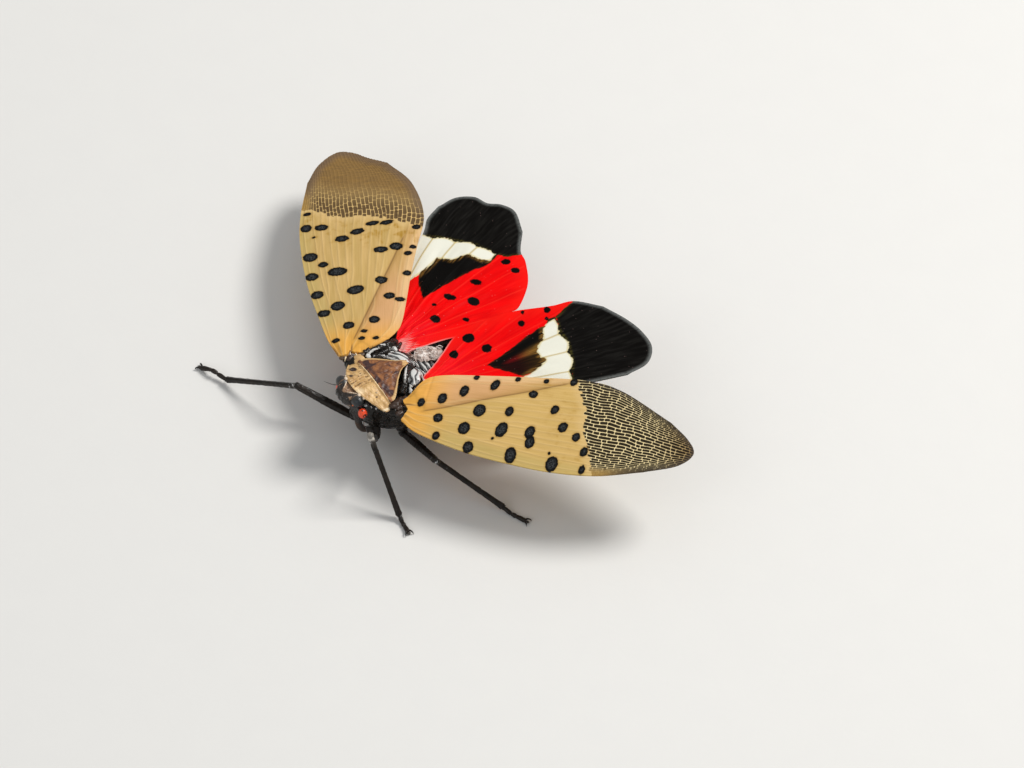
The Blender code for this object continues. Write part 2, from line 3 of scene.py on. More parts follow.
import bpy
import numpy as np
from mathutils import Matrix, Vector


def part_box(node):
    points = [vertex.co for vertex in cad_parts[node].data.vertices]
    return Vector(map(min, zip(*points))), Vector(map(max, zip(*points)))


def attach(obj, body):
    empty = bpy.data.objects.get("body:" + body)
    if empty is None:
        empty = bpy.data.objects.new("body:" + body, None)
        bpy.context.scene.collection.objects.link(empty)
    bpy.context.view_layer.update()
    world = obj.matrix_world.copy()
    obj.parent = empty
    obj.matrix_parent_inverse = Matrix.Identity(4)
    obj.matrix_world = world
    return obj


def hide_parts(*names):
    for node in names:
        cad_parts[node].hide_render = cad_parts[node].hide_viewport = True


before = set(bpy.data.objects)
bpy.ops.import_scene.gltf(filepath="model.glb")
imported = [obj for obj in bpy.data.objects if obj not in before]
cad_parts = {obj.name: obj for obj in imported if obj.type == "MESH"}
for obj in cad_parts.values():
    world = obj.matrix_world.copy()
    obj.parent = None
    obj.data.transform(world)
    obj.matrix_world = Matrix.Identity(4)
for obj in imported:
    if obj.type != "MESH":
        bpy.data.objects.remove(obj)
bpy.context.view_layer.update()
print("frame loaded:", len(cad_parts), "solids")

# A place on the insect is (fwd, left, up) in millimetres, with the head towards +fwd.
# toRow turns it into the frame, whose middle line and front are read from two solids.
mm = 0.001
headFront = 4.57
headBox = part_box("head")
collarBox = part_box("pronotum")
middleX = (collarBox[0].x + collarBox[1].x) / 2
frontY = headBox[0].y + headFront * mm


def toRow(places):
    places = np.asarray(places, float) * mm
    return np.stack([middleX + places[..., 1], frontY - places[..., 0], places[..., 2]], axis=-1)


def between(low, high, value):
    # 0 below low, 1 above high, eased between them; low may be the larger one
    share = np.clip((np.asarray(value, float) - low) / (high - low), 0, 1)
    return share * share * (3 - 2 * share)


def hump(value, middle, width):
    return np.exp(-((np.asarray(value, float) - middle) / width) ** 2)


def onLine(a, b, share):
    return a + (b - a) * share


def ripple(places, size, seed, waves=14):
    # smooth seeded unevenness of about -1 to 1, from waves of one length in random directions
    draw = np.random.default_rng(seed)
    ways = draw.normal(size=(waves, 3))
    ways /= np.linalg.norm(ways, axis=1, keepdims=True)
    pace = draw.uniform(0.7, 1.4, waves) * 2 * math.pi / size
    start = draw.uniform(0, 2 * math.pi, waves)
    total = np.zeros(places.shape[:-1])
    for way, speed, phase in zip(ways, pace, start):
        total += np.sin(places @ (way * speed) + phase)
    return total / math.sqrt(waves)


def smoothThrough(knots, steps, measured=3):
    # evenly spaced points on a curve through the knots; the first columns count as length
    knots = np.asarray(knots, float)
    padded = np.vstack([2 * knots[0] - knots[1], knots, 2 * knots[-1] - knots[-2]])
    share = np.linspace(0, 1, 24, endpoint=False)[:, None]
    fine = []
    for i in range(len(knots) - 1):
        p0, p1, p2, p3 = padded[i:i + 4]
        fine.append(0.5 * (2 * p1 + (p2 - p0) * share + (2 * p0 - 5 * p1 + 4 * p2 - p3) * share ** 2
                           + (3 * p1 - p0 - 3 * p2 + p3) * share ** 3))
    fine = np.vstack(fine + [knots[-1:]])
    gaps = np.linalg.norm(np.diff(fine[:, :measured], axis=0), axis=1)
    length = np.concatenate([[0], np.cumsum(gaps)])
    wanted = np.linspace(0, length[-1], steps)
    return np.column_stack([np.interp(wanted, length, column) for column in fine.T])


# Shapes: points, quads, triangles and the fields that a finish reads at each point
def shape(points, quads, tris, fields):
    points = np.asarray(points, float).reshape(-1, 3)
    quads = np.asarray(quads, int).reshape(-1, 4)
    tris = np.asarray(tris, int).reshape(-1, 3)
    parts = np.vstack([quads[:, [0, 1, 2]], quads[:, [0, 2, 3]], tris])
    a, b, c = (points[parts[:, k]] for k in range(3))
    if np.einsum("ij,ij->i", a, np.cross(b, c)).sum() < 0:
        quads = quads[:, ::-1]
        tris = tris[:, ::-1]
    return {"points": points, "quads": quads, "tris": tris, "fields": fields}


def joined(shapes):
    starts = np.cumsum([0] + [len(one["points"]) for one in shapes])
    whole = {"points": np.vstack([one["points"] for one in shapes]), "fields": {}}
    for key in ("quads", "tris"):
        whole[key] = np.vstack([one[key] + start for one, start in zip(shapes, starts)])
    for name in sorted({name for one in shapes for name in one["fields"]}):
        values = [one["fields"].get(name, np.zeros(len(one["points"]))) for one in shapes]
        whole["fields"][name] = np.concatenate(values)
    return whole


def gridQuads(index):
    # the quads between neighbours in a grid of point numbers
    return np.stack([index[:-1, :-1], index[:-1, 1:], index[1:, 1:], index[1:, :-1]], -1).reshape(-1, 4)


def closedSheet(top, under, fields):
    # two grids of one size, joined round their rim
    rows, columns = top.shape[:2]
    count = rows * columns
    index = np.arange(count).reshape(rows, columns)
    upper = gridQuads(index)
    rim = np.concatenate([index[0, :-1], index[:-1, -1], index[-1, :0:-1], index[:0:-1, 0]])
    after = np.roll(rim, -1)
    side = np.stack([after, rim, rim + count, after + count], -1)
    twice = {}
    for name, values in fields.items():
        flat = np.broadcast_to(values, (rows, columns) + np.shape(values)[2:]).reshape(count, -1).squeeze()
        twice[name] = np.concatenate([flat, flat])
    points = np.concatenate([top.reshape(-1, 3), under.reshape(-1, 3)])
    return shape(points, np.vstack([upper, upper[:, ::-1] + count, side]), [], twice)


def closedLoft(rings, fields=None):
    # rings of one size, with a fan of triangles over each end
    rows, columns = rings.shape[:2]
    count = rows * columns
    index = np.pad(np.arange(count).reshape(rows, columns), ((0, 0), (0, 1)), mode="wrap")
    tris = [np.stack([index[0, 1:], index[0, :-1], np.full(columns, count)], -1),
            np.stack([index[-1, :-1], index[-1, 1:], np.full(columns, count + 1)], -1)]
    points = np.vstack([rings.reshape(-1, 3), rings[0].mean(axis=0), rings[-1].mean(axis=0)])
    flat = {}
    for name, values in (fields or {}).items():
        values = np.broadcast_to(values, (rows, columns))
        flat[name] = np.concatenate([values.reshape(-1), [values[0].mean(), values[-1].mean()]])
    return shape(points, gridQuads(index), np.vstack(tris), flat)


def fullTurn(count):
    return np.linspace(0, 2 * math.pi, count, endpoint=False)


def squaredRound(columns, squareness):
    # the cosine and sine of a full turn, squared off like the section of a shell
    turn = fullTurn(columns)
    return (np.sign(wave) * np.abs(wave) ** (2 / squareness) for wave in (np.cos(turn), np.sin(turn)))


def ballGrid(rows, columns):
    # x, y and z of points on a ball, without its poles
    lift = np.linspace(-math.pi / 2, math.pi / 2, rows + 2)[1:-1, None]
    turn = fullTurn(columns)[None]
    return np.cos(lift) * np.cos(turn), np.cos(lift) * np.sin(turn), np.sin(lift) + 0 * turn


def mirrored(knots, way):
    # way is 1 for the left side of the insect and -1 for its right
    return [(fwd, way * left, up, *rest) for fwd, left, up, *rest in knots]


def knotsFrom(points, radii):
    return [(*point, radius) for point, radius in zip(points, radii)]


def rodKnots(start, end, steps, size):
    # knots on a straight line; each step is a share of it and a share of the size
    return [(*onLine(start, end, share), size * swell) for share, swell in steps]


def sweptRod(knots, sides=20, steps=60, flutes=0, fluteDepth=0.0, fields=None, bumps=0.0, seed=1):
    # a rod through (fwd, left, up, radius) knots, with shallow flutes if asked; a field is a
    # number, or a function of the share of the length
    line = smoothThrough(knots, steps)
    path = line[:, :3]
    ways = np.gradient(path, axis=0)
    ways /= np.linalg.norm(ways, axis=1, keepdims=True)
    side = np.cross(ways[0], (0, 0, 1.0))
    if np.linalg.norm(side) < 0.01:
        side = np.array((0, 1.0, 0))
    turn = fullTurn(sides)
    rings = []
    for centre, way, radius in zip(path, ways, line[:, 3]):
        side = side - way * side.dot(way)
        side /= np.linalg.norm(side)
        over = np.cross(side, way)
        reach = radius * (1 + fluteDepth * np.cos(flutes * turn))
        rings.append(centre + (reach * np.cos(turn))[:, None] * side + (reach * np.sin(turn))[:, None] * over)
    rings = np.array(rings)
    if bumps:
        outward = rings - path[:, None]
        outward /= np.linalg.norm(outward, axis=2, keepdims=True) + 1e-9
        rings = rings + outward * (bumps * ripple(rings, 0.35, seed))[..., None]
    share = np.linspace(0, 1, steps)[:, None]
    given = {name: value(share) if callable(value) else value for name, value in (fields or {}).items()}
    return closedLoft(rings, given)


def pebble(centre, radii, rough=0.0, size=0.4, seed=1, rows=26, columns=40, fields=None):
    # an ellipsoid with an uneven surface
    ball = np.stack(ballGrid(rows, columns), -1)
    places = np.asarray(centre) + ball * np.asarray(radii)
    places = places + ball * (rough * ripple(places, size, seed))[..., None]
    return closedLoft(places, fields)


def surfaceWays(grid, closed=False):
    # unit normals of a grid of points, pointing out of it where it is closed
    around = (np.roll(grid, -1, 1) - np.roll(grid, 1, 1)) if closed else np.gradient(grid, axis=1)
    normal = np.cross(np.gradient(grid, axis=0), around)
    normal = normal / (np.linalg.norm(normal, axis=2, keepdims=True) + 1e-12)
    if closed:
        normal *= np.sign(((grid - grid.mean(axis=(0, 1))) * normal).sum())
    return normal


def newObject(name, content):
    made = bpy.data.objects.new(name, content)
    bpy.context.scene.collection.objects.link(made)
    return made


def makePiece(name, parts, finish, nodes=(), sharp=None):
    whole = joined(parts) if isinstance(parts, list) else parts
    mesh = bpy.data.meshes.new(name)
    mesh.from_pydata(toRow(whole["points"]).tolist(), [], whole["quads"].tolist() + whole["tris"].tolist())
    for label, values in whole["fields"].items():
        kind, part = ("FLOAT", "value") if values.ndim == 1 else ("FLOAT_VECTOR", "vector")
        layer = mesh.attributes.new(label, kind, "POINT")
        layer.data.foreach_set(part, values.astype(np.float32).ravel())
    mesh.shade_smooth()
    if sharp:
        mesh.set_sharp_from_angle(angle=math.radians(sharp))
    mesh.materials.append(finish)
    piece = newObject(name, mesh)
    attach(piece, "root")
    if nodes:
        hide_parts(*nodes)


# Shader nodes in few words. The node tree is the one that the given sockets are in.
def put(tree, kind, wires=None, **settings):
    made = tree.nodes.new("ShaderNode" + kind)
    for key, value in settings.items():
        setattr(made, key, value)
    for socket, value in (wires or {}).items():
        wire(value, made.inputs[socket])
    return made


def wire(value, socket):
    if isinstance(value, bpy.types.NodeSocket):
        socket.id_data.links.new(value, socket)
    else:
        socket.default_value = (*value, 1.0) if socket.type == "RGBA" else value


def treeOf(values):
    return next(value.id_data for value in values if isinstance(value, bpy.types.NodeSocket))


def calc(operation, *values):
    return put(treeOf(values), "Math", dict(enumerate(values)), operation=operation).outputs[0]


def times(first, second):
    return calc("MULTIPLY", first, second)


def plus(first, second):
    return calc("ADD", first, second)


def minus(first, second):
    return calc("SUBTRACT", first, second)


def power(value, exponent):
    return calc("POWER", value, exponent)


def scaled(value, factor, start):
    return calc("MULTIPLY_ADD", value, factor, start)


def eased(value, low, high):
    wires = {"Value": value, "From Min": low, "From Max": high}
    return put(value.id_data, "MapRange", wires, interpolation_type="SMOOTHSTEP").outputs["Result"]


def ramp(value, low, high):
    # 0 at low and 1 at high, eased; low may be the larger one
    return minus(1.0, eased(value, high, low)) if low > high else eased(value, low, high)


def tint(amount, first, second):
    made = put(amount.id_data, "Mix", {0: amount, 6: first, 7: second}, data_type="RGBA", blend_type="MIX")
    return made.outputs[2]


def layered(colour, look, layers):
    # lays colours of a look over each other; each layer is a mask, its strength and a name
    for mask, strength, name in layers:
        colour = tint(mask if strength is None else times(mask, strength), colour, look[name])
    return colour


def field(tree, name):
    return put(tree, "Attribute", attribute_name=name).outputs["Fac"]


def fieldWay(tree, name):
    return put(tree, "Attribute", attribute_name=name).outputs["Vector"]


def bodyPlace(tree):
    # place on the insect in millimetres
    spot = put(tree, "TexCoord").outputs["Object"]
    return put(tree, "VectorMath", {0: spot, 3: 1000.0}, operation="SCALE").outputs[0]


def noise(place, size, detail=3.0, rough=0.5):
    pace = 1.0 / size if isinstance(size, float) else calc("DIVIDE", 1.0, size)
    wires = {"Vector": place, "Scale": pace, "Detail": detail, "Roughness": rough}
    return put(place.id_data, "TexNoise", wires).outputs["Fac"]


# Effects that several finishes share, as node groups. Sizes in them are in millimetres.
def newEffect(name, inputs, build):
    # build gives the named outputs from the sockets of the inputs
    tree = bpy.data.node_groups.new(name, "ShaderNodeTree")
    tree.interface.new_socket("Place", in_out="INPUT", socket_type="NodeSocketVector")
    for label, value in inputs.items():
        tree.interface.new_socket(label, in_out="INPUT", socket_type="NodeSocketFloat").default_value = value
    made = build(tree.nodes.new("NodeGroupInput").outputs)
    for label in made:
        tree.interface.new_socket(label, in_out="OUTPUT", socket_type="NodeSocketFloat")
    out = tree.nodes.new("NodeGroupOutput").inputs
    for label, value in made.items():
        wire(value, out[label])


def softEdgeParts(given):
    swing = times(minus(noise(given["Place"], given["Wobble size"]), 0.5), given["Wobble"])
    return {"Mask": eased(plus(given["Depth"], swing), times(given["Softness"], -1.0), given["Softness"])}


def streakParts(given):
    parts = put(given["Place"].id_data, "SeparateXYZ", {0: given["Place"]}).outputs
    along = calc("DIVIDE", parts[0], given["Length"])
    across = calc("DIVIDE", parts[1], given["Width"])
    stretched = put(along.id_data, "CombineXYZ", {0: along, 1: across, 2: parts[2]}).outputs[0]
    return {"Streak": ramp(noise(stretched, 1.0), 0.3, 0.7)}


def grainParts(given):
    fine = noise(given["Place"], given["Size"], detail=4.0, rough=0.6)
    broad = noise(given["Place"], given["Mottle size"], detail=4.0, rough=0.6)
    return {"Mottle": ramp(broad, 0.32, 0.68), "Height": fine}


def bloomAndGlintParts(given):
    patch = noise(given["Place"], given["Size"], detail=6.0, rough=0.7)
    level = minus(1.0, given["Amount"])
    return {"Mask": eased(patch, scaled(level, 0.6, 0.18), scaled(level, 0.6, 0.3))}


def pitParts(given):
    wires = {"Vector": given["Place"], "Scale": calc("DIVIDE", 1.0, given["Size"])}
    cells = put(given["Place"].id_data, "TexVoronoi", wires).outputs["Distance"]
    return {"Pit": ramp(cells, 0.5, 0.1)}


newEffect("soft edge", {"Depth": 0.0, "Wobble": 0.1, "Wobble size": 0.3, "Softness": 0.03}, softEdgeParts)
newEffect("streaks along", {"Length": 5.0, "Width": 0.3}, streakParts)
newEffect("shell grain", {"Size": 0.1, "Mottle size": 0.6}, grainParts)
newEffect("waxy bloom and glints", {"Amount": 0.3, "Size": 0.25}, bloomAndGlintParts)
newEffect("small pits", {"Size": 0.12}, pitParts)
print("shared effects built")


def effect(name, place, wires):
    group = bpy.data.node_groups[name]
    return put(place.id_data, "Group", {"Place": place, **wires}, node_tree=group).outputs


def softEdge(place, depth, wobble, size, softness):
    wires = {"Depth": depth, "Wobble": wobble, "Wobble size": size, "Softness": softness}
    return effect("soft edge", place, wires)["Mask"]


def streaks(place, length, width):
    return effect("streaks along", place, {"Length": length, "Width": width})["Streak"]


def newFinish(name, roughness=0.5, **sockets):
    finish = bpy.data.materials.new(name)
    finish.use_nodes = True
    shader = finish.node_tree.nodes["Principled BSDF"]
    shader.inputs["Roughness"].default_value = roughness
    for label, value in sockets.items():
        shader.inputs[label.replace("_", " ")].default_value = value
    return finish, finish.node_tree, shader


def dress(shader, colour, relief, strength, distance, roughness=None):
    wire(colour, shader.inputs["Base Color"])
    if roughness is not None:
        wire(roughness, shader.inputs["Roughness"])
    wires = {"Height": relief, "Strength": strength, "Distance": distance * mm}
    wire(put(shader.id_data, "Bump", wires).outputs["Normal"], shader.inputs["Normal"])


# Shell finishes: each reads the fields dark, pale and wax of its piece
shellLooks = {
    "headShell": {
        "base": (0.24, 0.135, 0.080), "second": (0.37, 0.225, 0.125), "dark": (0.016, 0.011, 0.008),
        "pale": (0.72, 0.58, 0.43), "mottle": 0.38, "grain": 0.10, "pits": 0.18, "pitDepth": 0.3,
        "ragged": 0.5, "roughness": 0.40, "bump": 0.012},
    "collarShell": {
        "base": (0.50, 0.29, 0.105), "second": (0.76, 0.50, 0.22), "dark": (0.040, 0.020, 0.012),
        "pale": (0.93, 0.75, 0.49), "mottle": 0.55, "grain": 0.14, "pits": 0.2, "pitDepth": 0.05,
        "ragged": 0.35, "roughness": 0.42, "bump": 0.012},
    "shieldShell": {
        "base": (0.12, 0.040, 0.018), "second": (0.36, 0.14, 0.045), "dark": (0.050, 0.018, 0.016),
        "pale": (0.66, 0.42, 0.18), "mottle": 0.55, "grain": 0.2, "pits": 0.3, "pitDepth": 0.05,
        "ragged": 0.3, "roughness": 0.5, "bump": 0.006},
    "blackShell": {
        "base": (0.009, 0.008, 0.007), "second": (0.022, 0.017, 0.013), "dark": (0.004, 0.004, 0.004),
        "pale": (0.55, 0.42, 0.26), "mottle": 0.7, "grain": 0.12, "pits": 0.25, "pitDepth": 0.3,
        "ragged": 0.4, "roughness": 0.2, "bump": 0.007, "gloss": 0.22},
    "waxAndHighlightShell": {
        "base": (0.10, 0.10, 0.10), "second": (0.20, 0.20, 0.20), "dark": (0.008, 0.007, 0.007),
        "pale": (0.66, 0.66, 0.63), "mottle": 0.3, "grain": 0.08, "pits": 0.3, "pitDepth": 0.1,
        "ragged": 0.5, "roughness": 0.25, "bump": 0.015},
    "waxWool": {
        "base": (0.42, 0.30, 0.25), "second": (0.62, 0.52, 0.46), "dark": (0.03, 0.022, 0.018),
        "pale": (0.88, 0.80, 0.74), "mottle": 0.25, "grain": 0.07, "pits": 0.12, "pitDepth": 0.35,
        "ragged": 0.7, "roughness": 0.7, "bump": 0.04},
    "abdomenShell": {
        "base": (0.66, 0.38, 0.04), "second": (0.76, 0.48, 0.08), "dark": (0.012, 0.010, 0.009),
        "pale": (0.80, 0.62, 0.30), "mottle": 0.8, "grain": 0.12, "pits": 0.22, "pitDepth": 0.2,
        "ragged": 0.4, "roughness": 0.40, "bump": 0.015},
    "legShell": {
        "base": (0.009, 0.007, 0.005), "second": (0.022, 0.015, 0.011), "dark": (0.004, 0.003, 0.003),
        "pale": (0.50, 0.46, 0.40), "mottle": 0.5, "grain": 0.06, "pits": 0.12, "pitDepth": 0.3,
        "ragged": 0.5, "roughness": 0.3, "bump": 0.012, "gloss": 0.25},
    "beakShell": {
        "base": (0.030, 0.017, 0.010), "second": (0.075, 0.040, 0.020), "dark": (0.008, 0.006, 0.005),
        "pale": (0.45, 0.28, 0.12), "mottle": 0.5, "grain": 0.07, "pits": 0.2, "pitDepth": 0.2,
        "ragged": 0.4, "roughness": 0.35, "bump": 0.012},
}
bloomAndGlintColour = (0.74, 0.74, 0.73)


def shellFinish(name):
    look = shellLooks[name]
    gloss = look.get("gloss", 0.4)
    finish, tree, shader = newFinish(name, look["roughness"], Specular_IOR_Level=gloss,
                                     Coat_Weight=0.1 if gloss > 0.3 else 0.0, Coat_Roughness=0.25)
    place = bodyPlace(tree)
    grain = effect("shell grain", place, {"Size": look["grain"], "Mottle size": look["mottle"]})
    pits = effect("small pits", place, {"Size": look["pits"]})["Pit"]
    # the pale bloom is wax, and on the thorax flank it is also painted glints
    bloomAndGlint = effect("waxy bloom and glints", place, {"Amount": field(tree, "wax"), "Size": 0.3})["Mask"]
    ragged = times(minus(grain["Height"], 0.5), look["ragged"])
    colour = layered(tint(grain["Mottle"], look["base"], look["second"]), look, [
        (pits, look["pitDepth"], "dark"),
        (ramp(plus(field(tree, "dark"), ragged), 0.3, 0.7), None, "dark"),
        (ramp(plus(field(tree, "pale"), ragged), 0.25, 0.75), None, "pale")])
    colour = tint(times(bloomAndGlint, 0.85), colour, bloomAndGlintColour)
    relief = minus(grain["Height"], times(pits, 0.6))
    dress(shader, colour, relief, 0.5, look["bump"], scaled(bloomAndGlint, 0.25, look["roughness"]))
    return finish


shells = {name: shellFinish(name) for name in shellLooks}
print("shell finishes built:", len(shells))


# Wings: outlines are (along, across) millimetres from the root, leading edge at negative across
wingPlans = {
    "forewing_left": {
        "root": (0.44, 3.27, 6.0), "reach": (-16.05, 16.1, 1.2), "lift": 0.138, "arch": 0.25,
        "lead": [(0, -1.2), (1.5, -2.15), (5.3, -3.2), (9, -3.7), (12.5, -3.9), (16, -3.6), (19.5, -2.6)],
        "apex": [(19.5, -2.6), (21.9, -1.6), (22.9, -0.3), (22.2, 0.9), (20.6, 2.2)],
        "trail": [(0, 0.9), (0.9, 2.8), (2.3, 3.5), (5.3, 4.0), (9, 4.5), (12.8, 4.9), (16, 4.5),
                  (20.6, 2.2)],
        "base": [(0, 0), (0.15, 0.15), (0.4, 0.36), (0.58, 0.1), (0.76, -0.2), (0.9, -0.15), (1, 0)],
        "suture": ((1.6, -0.2), (12.0, 4.4)),
        "netLine": [(15.6, -4.0), (15.45, -3.2), (14.93, -1.65), (14.1, 0.4), (13.8, 2.3), (12.7, 4.3),
                    (12.5, 4.9)],
        "netFade": (9.0, 13.0), "netDark": 1.0, "netTone": 0.0, "seed": 3,
        # each spot: along, across, half its height across the wing, half its width
        "spots": [
            (4.8, 3.7, 0.28, 0.23), (8.0, 4.1, 0.28, 0.22), (10.2, 4.3, 0.26, 0.22), (12.3, 4.6, 0.4, 0.3),
            (6.4, 3.2, 0.58, 0.33), (4.2, 2.2, 0.56, 0.35), (2.7, 1.2, 0.52, 0.36), (1.2, 0.5, 0.42, 0.27),
            (9.5, 2.9, 0.4, 0.36), (11.5, 1.7, 0.46, 0.32), (12.5, 0.2, 0.5, 0.38), (13.7, -0.5, 0.43, 0.32),
            (14.6, -1.7, 0.46, 0.3), (14.8, -3.3, 0.44, 0.26), (12.4, -3.2, 0.72, 0.48),
            (12.0, -2.3, 0.14, 0.12), (10.1, -0.7, 0.6, 0.38), (10.3, -1.6, 0.58, 0.38),
            (8.1, 0.9, 0.5, 0.33), (7.9, -0.9, 0.73, 0.46), (7.4, -1.8, 0.15, 0.13), (9.1, -3.0, 0.72, 0.45),
            (5.8, 0.6, 0.6, 0.48), (5.0, -1.2, 0.57, 0.46), (5.7, -2.8, 0.54, 0.42), (2.8, -0.6, 0.42, 0.38),
            (3.0, -2.2, 0.38, 0.31)],
    },
    "forewing_right": {
        "root": (1.18, -3.7, 6.0), "reach": (-11.12, -19.34, -1.4), "lift": 0.08, "arch": 0.25,
        "lead": [(0, -1.0), (1.6, -1.7), (4, -2.35), (8.2, -3.3), (12.8, -3.8), (16, -3.7), (19.5, -3.15)],
        "apex": [(19.5, -3.15), (21.4, -2.3), (22.7, -0.9), (22.6, 0.4), (21.9, 1.6), (21.2, 3.1)],
        "trail": [(0, 0.9), (1.0, 2.4), (2.0, 3.5), (3.5, 4.1), (8.4, 4.8), (11.4, 5.3), (15, 5.9),
                  (18.7, 5.0), (21.2, 3.1)],
        "base": [(0, 0), (0.15, -0.32), (0.28, -0.36), (0.42, -0.22), (0.51, 0.1), (0.6, -0.02), (0.85, -0.1),
                 (1, 0)],
        "suture": ((1.4, 0.3), (12.6, 4.3)),
        "netLine": [(16.6, -4.0), (16.4, -3.2), (15.4, -1.1), (15.1, 1.5), (14.6, 3.5), (13.7, 5.5)],
        # this wing's paler net, fading towards the tip, is a painted glare
        "netFade": (1.0, 4.2), "netDark": 0.95, "netTone": 1.0, "seed": 5,
        "spots": [
            (14.3, -3.3, 0.46, 0.42), (14.2, -2.1, 0.54, 0.36), (15.9, -3.2, 0.33, 0.2),
            (13.2, -2.7, 0.17, 0.12), (13.4, 0.7, 0.57, 0.33), (12.7, -0.5, 0.57, 0.35),
            (14.2, 1.9, 0.54, 0.27), (14.2, 3.0, 0.54, 0.27), (13.6, 5.3, 0.35, 0.27),
            (11.5, 3.7, 0.54, 0.42), (11.2, 2.5, 0.58, 0.36), (11.4, 5.0, 0.28, 0.22),
            (10.7, 4.6, 0.33, 0.24), (11.0, -3.0, 0.6, 0.5), (10.0, -2.0, 0.4, 0.32), (9.0, -0.9, 0.78, 0.48),
            (8.8, -2.9, 0.53, 0.44), (8.5, 4.5, 0.35, 0.3), (7.8, 2.5, 0.5, 0.42), (6.8, 0.5, 0.7, 0.48),
            (6.7, -2.5, 0.52, 0.44), (6.0, 3.1, 0.46, 0.36), (5.6, 3.9, 0.42, 0.25), (5.2, -0.9, 0.58, 0.5),
            (4.6, -2.0, 0.52, 0.38), (3.4, 1.9, 0.44, 0.4), (3.0, -0.1, 0.46, 0.4), (2.2, 1.1, 0.28, 0.2),
            (1.4, -1.1, 0.33, 0.25), (1.4, 0.9, 0.28, 0.23), (1.4, 2.0, 0.28, 0.2)],
    },
    "hindwing_left": {
        "root": (-2.3, 1.5, 5.5), "reach": (-16.7, 6.2, 0.8), "lift": 0.0, "arch": 0.0,
        "lead": [(0, -0.9), (4, -2.2), (8, -2.9), (12, -2.75), (15.5, -2.55)],
        "apex": [(15.5, -2.55), (17.2, -1.75), (17.88, -0.2), (17.46, 1.5), (16.5, 3.1), (15, 4.8)],
        "trail": [(0, 0.6), (1, 1.65), (2, 2.85), (3.05, 4.15), (4.3, 5.0), (5.8, 5.45), (8, 5.85),
                  (11.1, 5.75), (12.9, 5.85), (15, 4.8)],
        "fanRoot": (-0.3, -0.2), "seed": 7, "waxReach": 1.0, "darkRootAndShade": 0.3,
        "veinAngles": (-36, -26, -16, -5.7, 4.5, 14, 23, 32, 42, 53, 65, 80),
        "patch": [(5.1, 0.85), (7.8, 2.45), (9.9, 3.8), (10.5, 3.75), (10.3, 2.3), (10.1, 1.45), (10.0, 0.3),
                  (9.3, -0.7), (7.6, -0.85), (6.35, -0.1), (5.6, 0.35)],
        "brownLine": (5.6, 0.42, 0.32),  # along and across where the brown streak begins, and its slope
        "white": [(7.2, -0.95), (8.7, -0.25), (9.4, 0.3), (9.15, 1.4), (9.65, 2.3), (9.85, 3.6), (10.5, 4.2),
                  (11.1, 4.4), (11.2, 3.0), (11.6, 1.6), (11.6, -0.3), (11.2, -1.9), (10.9, -3.2),
                  (6.4, -3.2)],
        "darkTip": [(11.2, 4.5), (11.2, 3.0), (11.6, 1.6), (11.6, -0.3), (11.2, -1.9), (10.9, -3.4),
                    (20, -3.5), (20, 6), (13.5, 6.5)],
        "spots": [(10.7, 5.4, 0.34, 0.27), (10.5, 4.5, 0.2, 0.15), (8.5, 4.5, 0.36, 0.28),
                  (5.4, 2.5, 0.5, 0.4), (4.2, 3.8, 0.5, 0.48), (2.8, 2.4, 0.4, 0.36), (8.8, 5.6, 0.2, 0.14)],
    },
    "hindwing_right": {
        "root": (-2.9, -2.5, 4.95), "reach": (-15.0, -8.9, -0.3), "lift": 0.0, "arch": 0.0,
        "lead": [(0, -1.9), (1.5, -2.3), (4, -2.85), (8, -4.1), (11.9, -4.8), (13.4, -5.25), (15, -5.15)],
        "apex": [(15, -5.15), (16.5, -4.45), (17.3, -3.2), (17.2, -2.0), (17.6, -0.9), (17.4, 0.4),
                 (15.8, 1.9)],
        "trail": [(0, 0.3), (0.6, 0.5), (1.3, 1.0), (2.6, 2.0), (3.4, 2.75), (4.6, 4.0), (6.2, 5.0),
                  (7.6, 5.05), (8.4, 5.45), (10.1, 5.2), (11.5, 4.7), (13.1, 3.6), (13.9, 2.75), (15.8, 1.9)],
        "fanRoot": (-0.3, -1.6), "seed": 9, "waxReach": 3.8, "darkRootAndShade": 1.7,
        "veinAngles": (-28, -19.5, -11.5, -3.4, 4.9, 13.5, 22, 31, 41, 52, 64, 80),
        "patch": [(5.6, -1.4), (8.3, -0.45), (10.0, 0.4), (11.8, 1.3), (12.3, 1.35), (12.2, 0.4),
                  (12.1, -0.6), (11.1, -1.4), (11.2, -2.6), (10.6, -3.1), (8.0, -3.1), (7.0, -2.5)],
        "white": [(6.6, -3.4), (8.8, -2.8), (10.2, -2.6), (10.4, -1.4), (11.4, -0.6), (11.5, 0.6),
                  (11.9, 1.2), (12.7, 1.2), (12.8, -0.6), (12.4, -2.7), (11.7, -4.6), (11.5, -5.2),
                  (6.4, -4.2)],
        "darkTip": [(12.9, 2.2), (12.7, 1.2), (12.8, -0.6), (12.4, -2.7), (11.7, -4.6), (11.4, -6), (20, -6),
                    (20, 3.5), (14, 3.5)],
        "spots": [(12.3, 2.3, 0.38, 0.33), (11.8, 3.4, 0.35, 0.32), (9.3, 1.3, 0.48, 0.3),
                  (6.9, 0.3, 0.52, 0.33), (7.4, 2.1, 0.5, 0.42), (4.3, 0.4, 0.42, 0.36),
                  (5.6, -0.4, 0.2, 0.15), (5.4, 2.5, 0.3, 0.22), (6.4, 4.7, 0.3, 0.22)],
    },
}


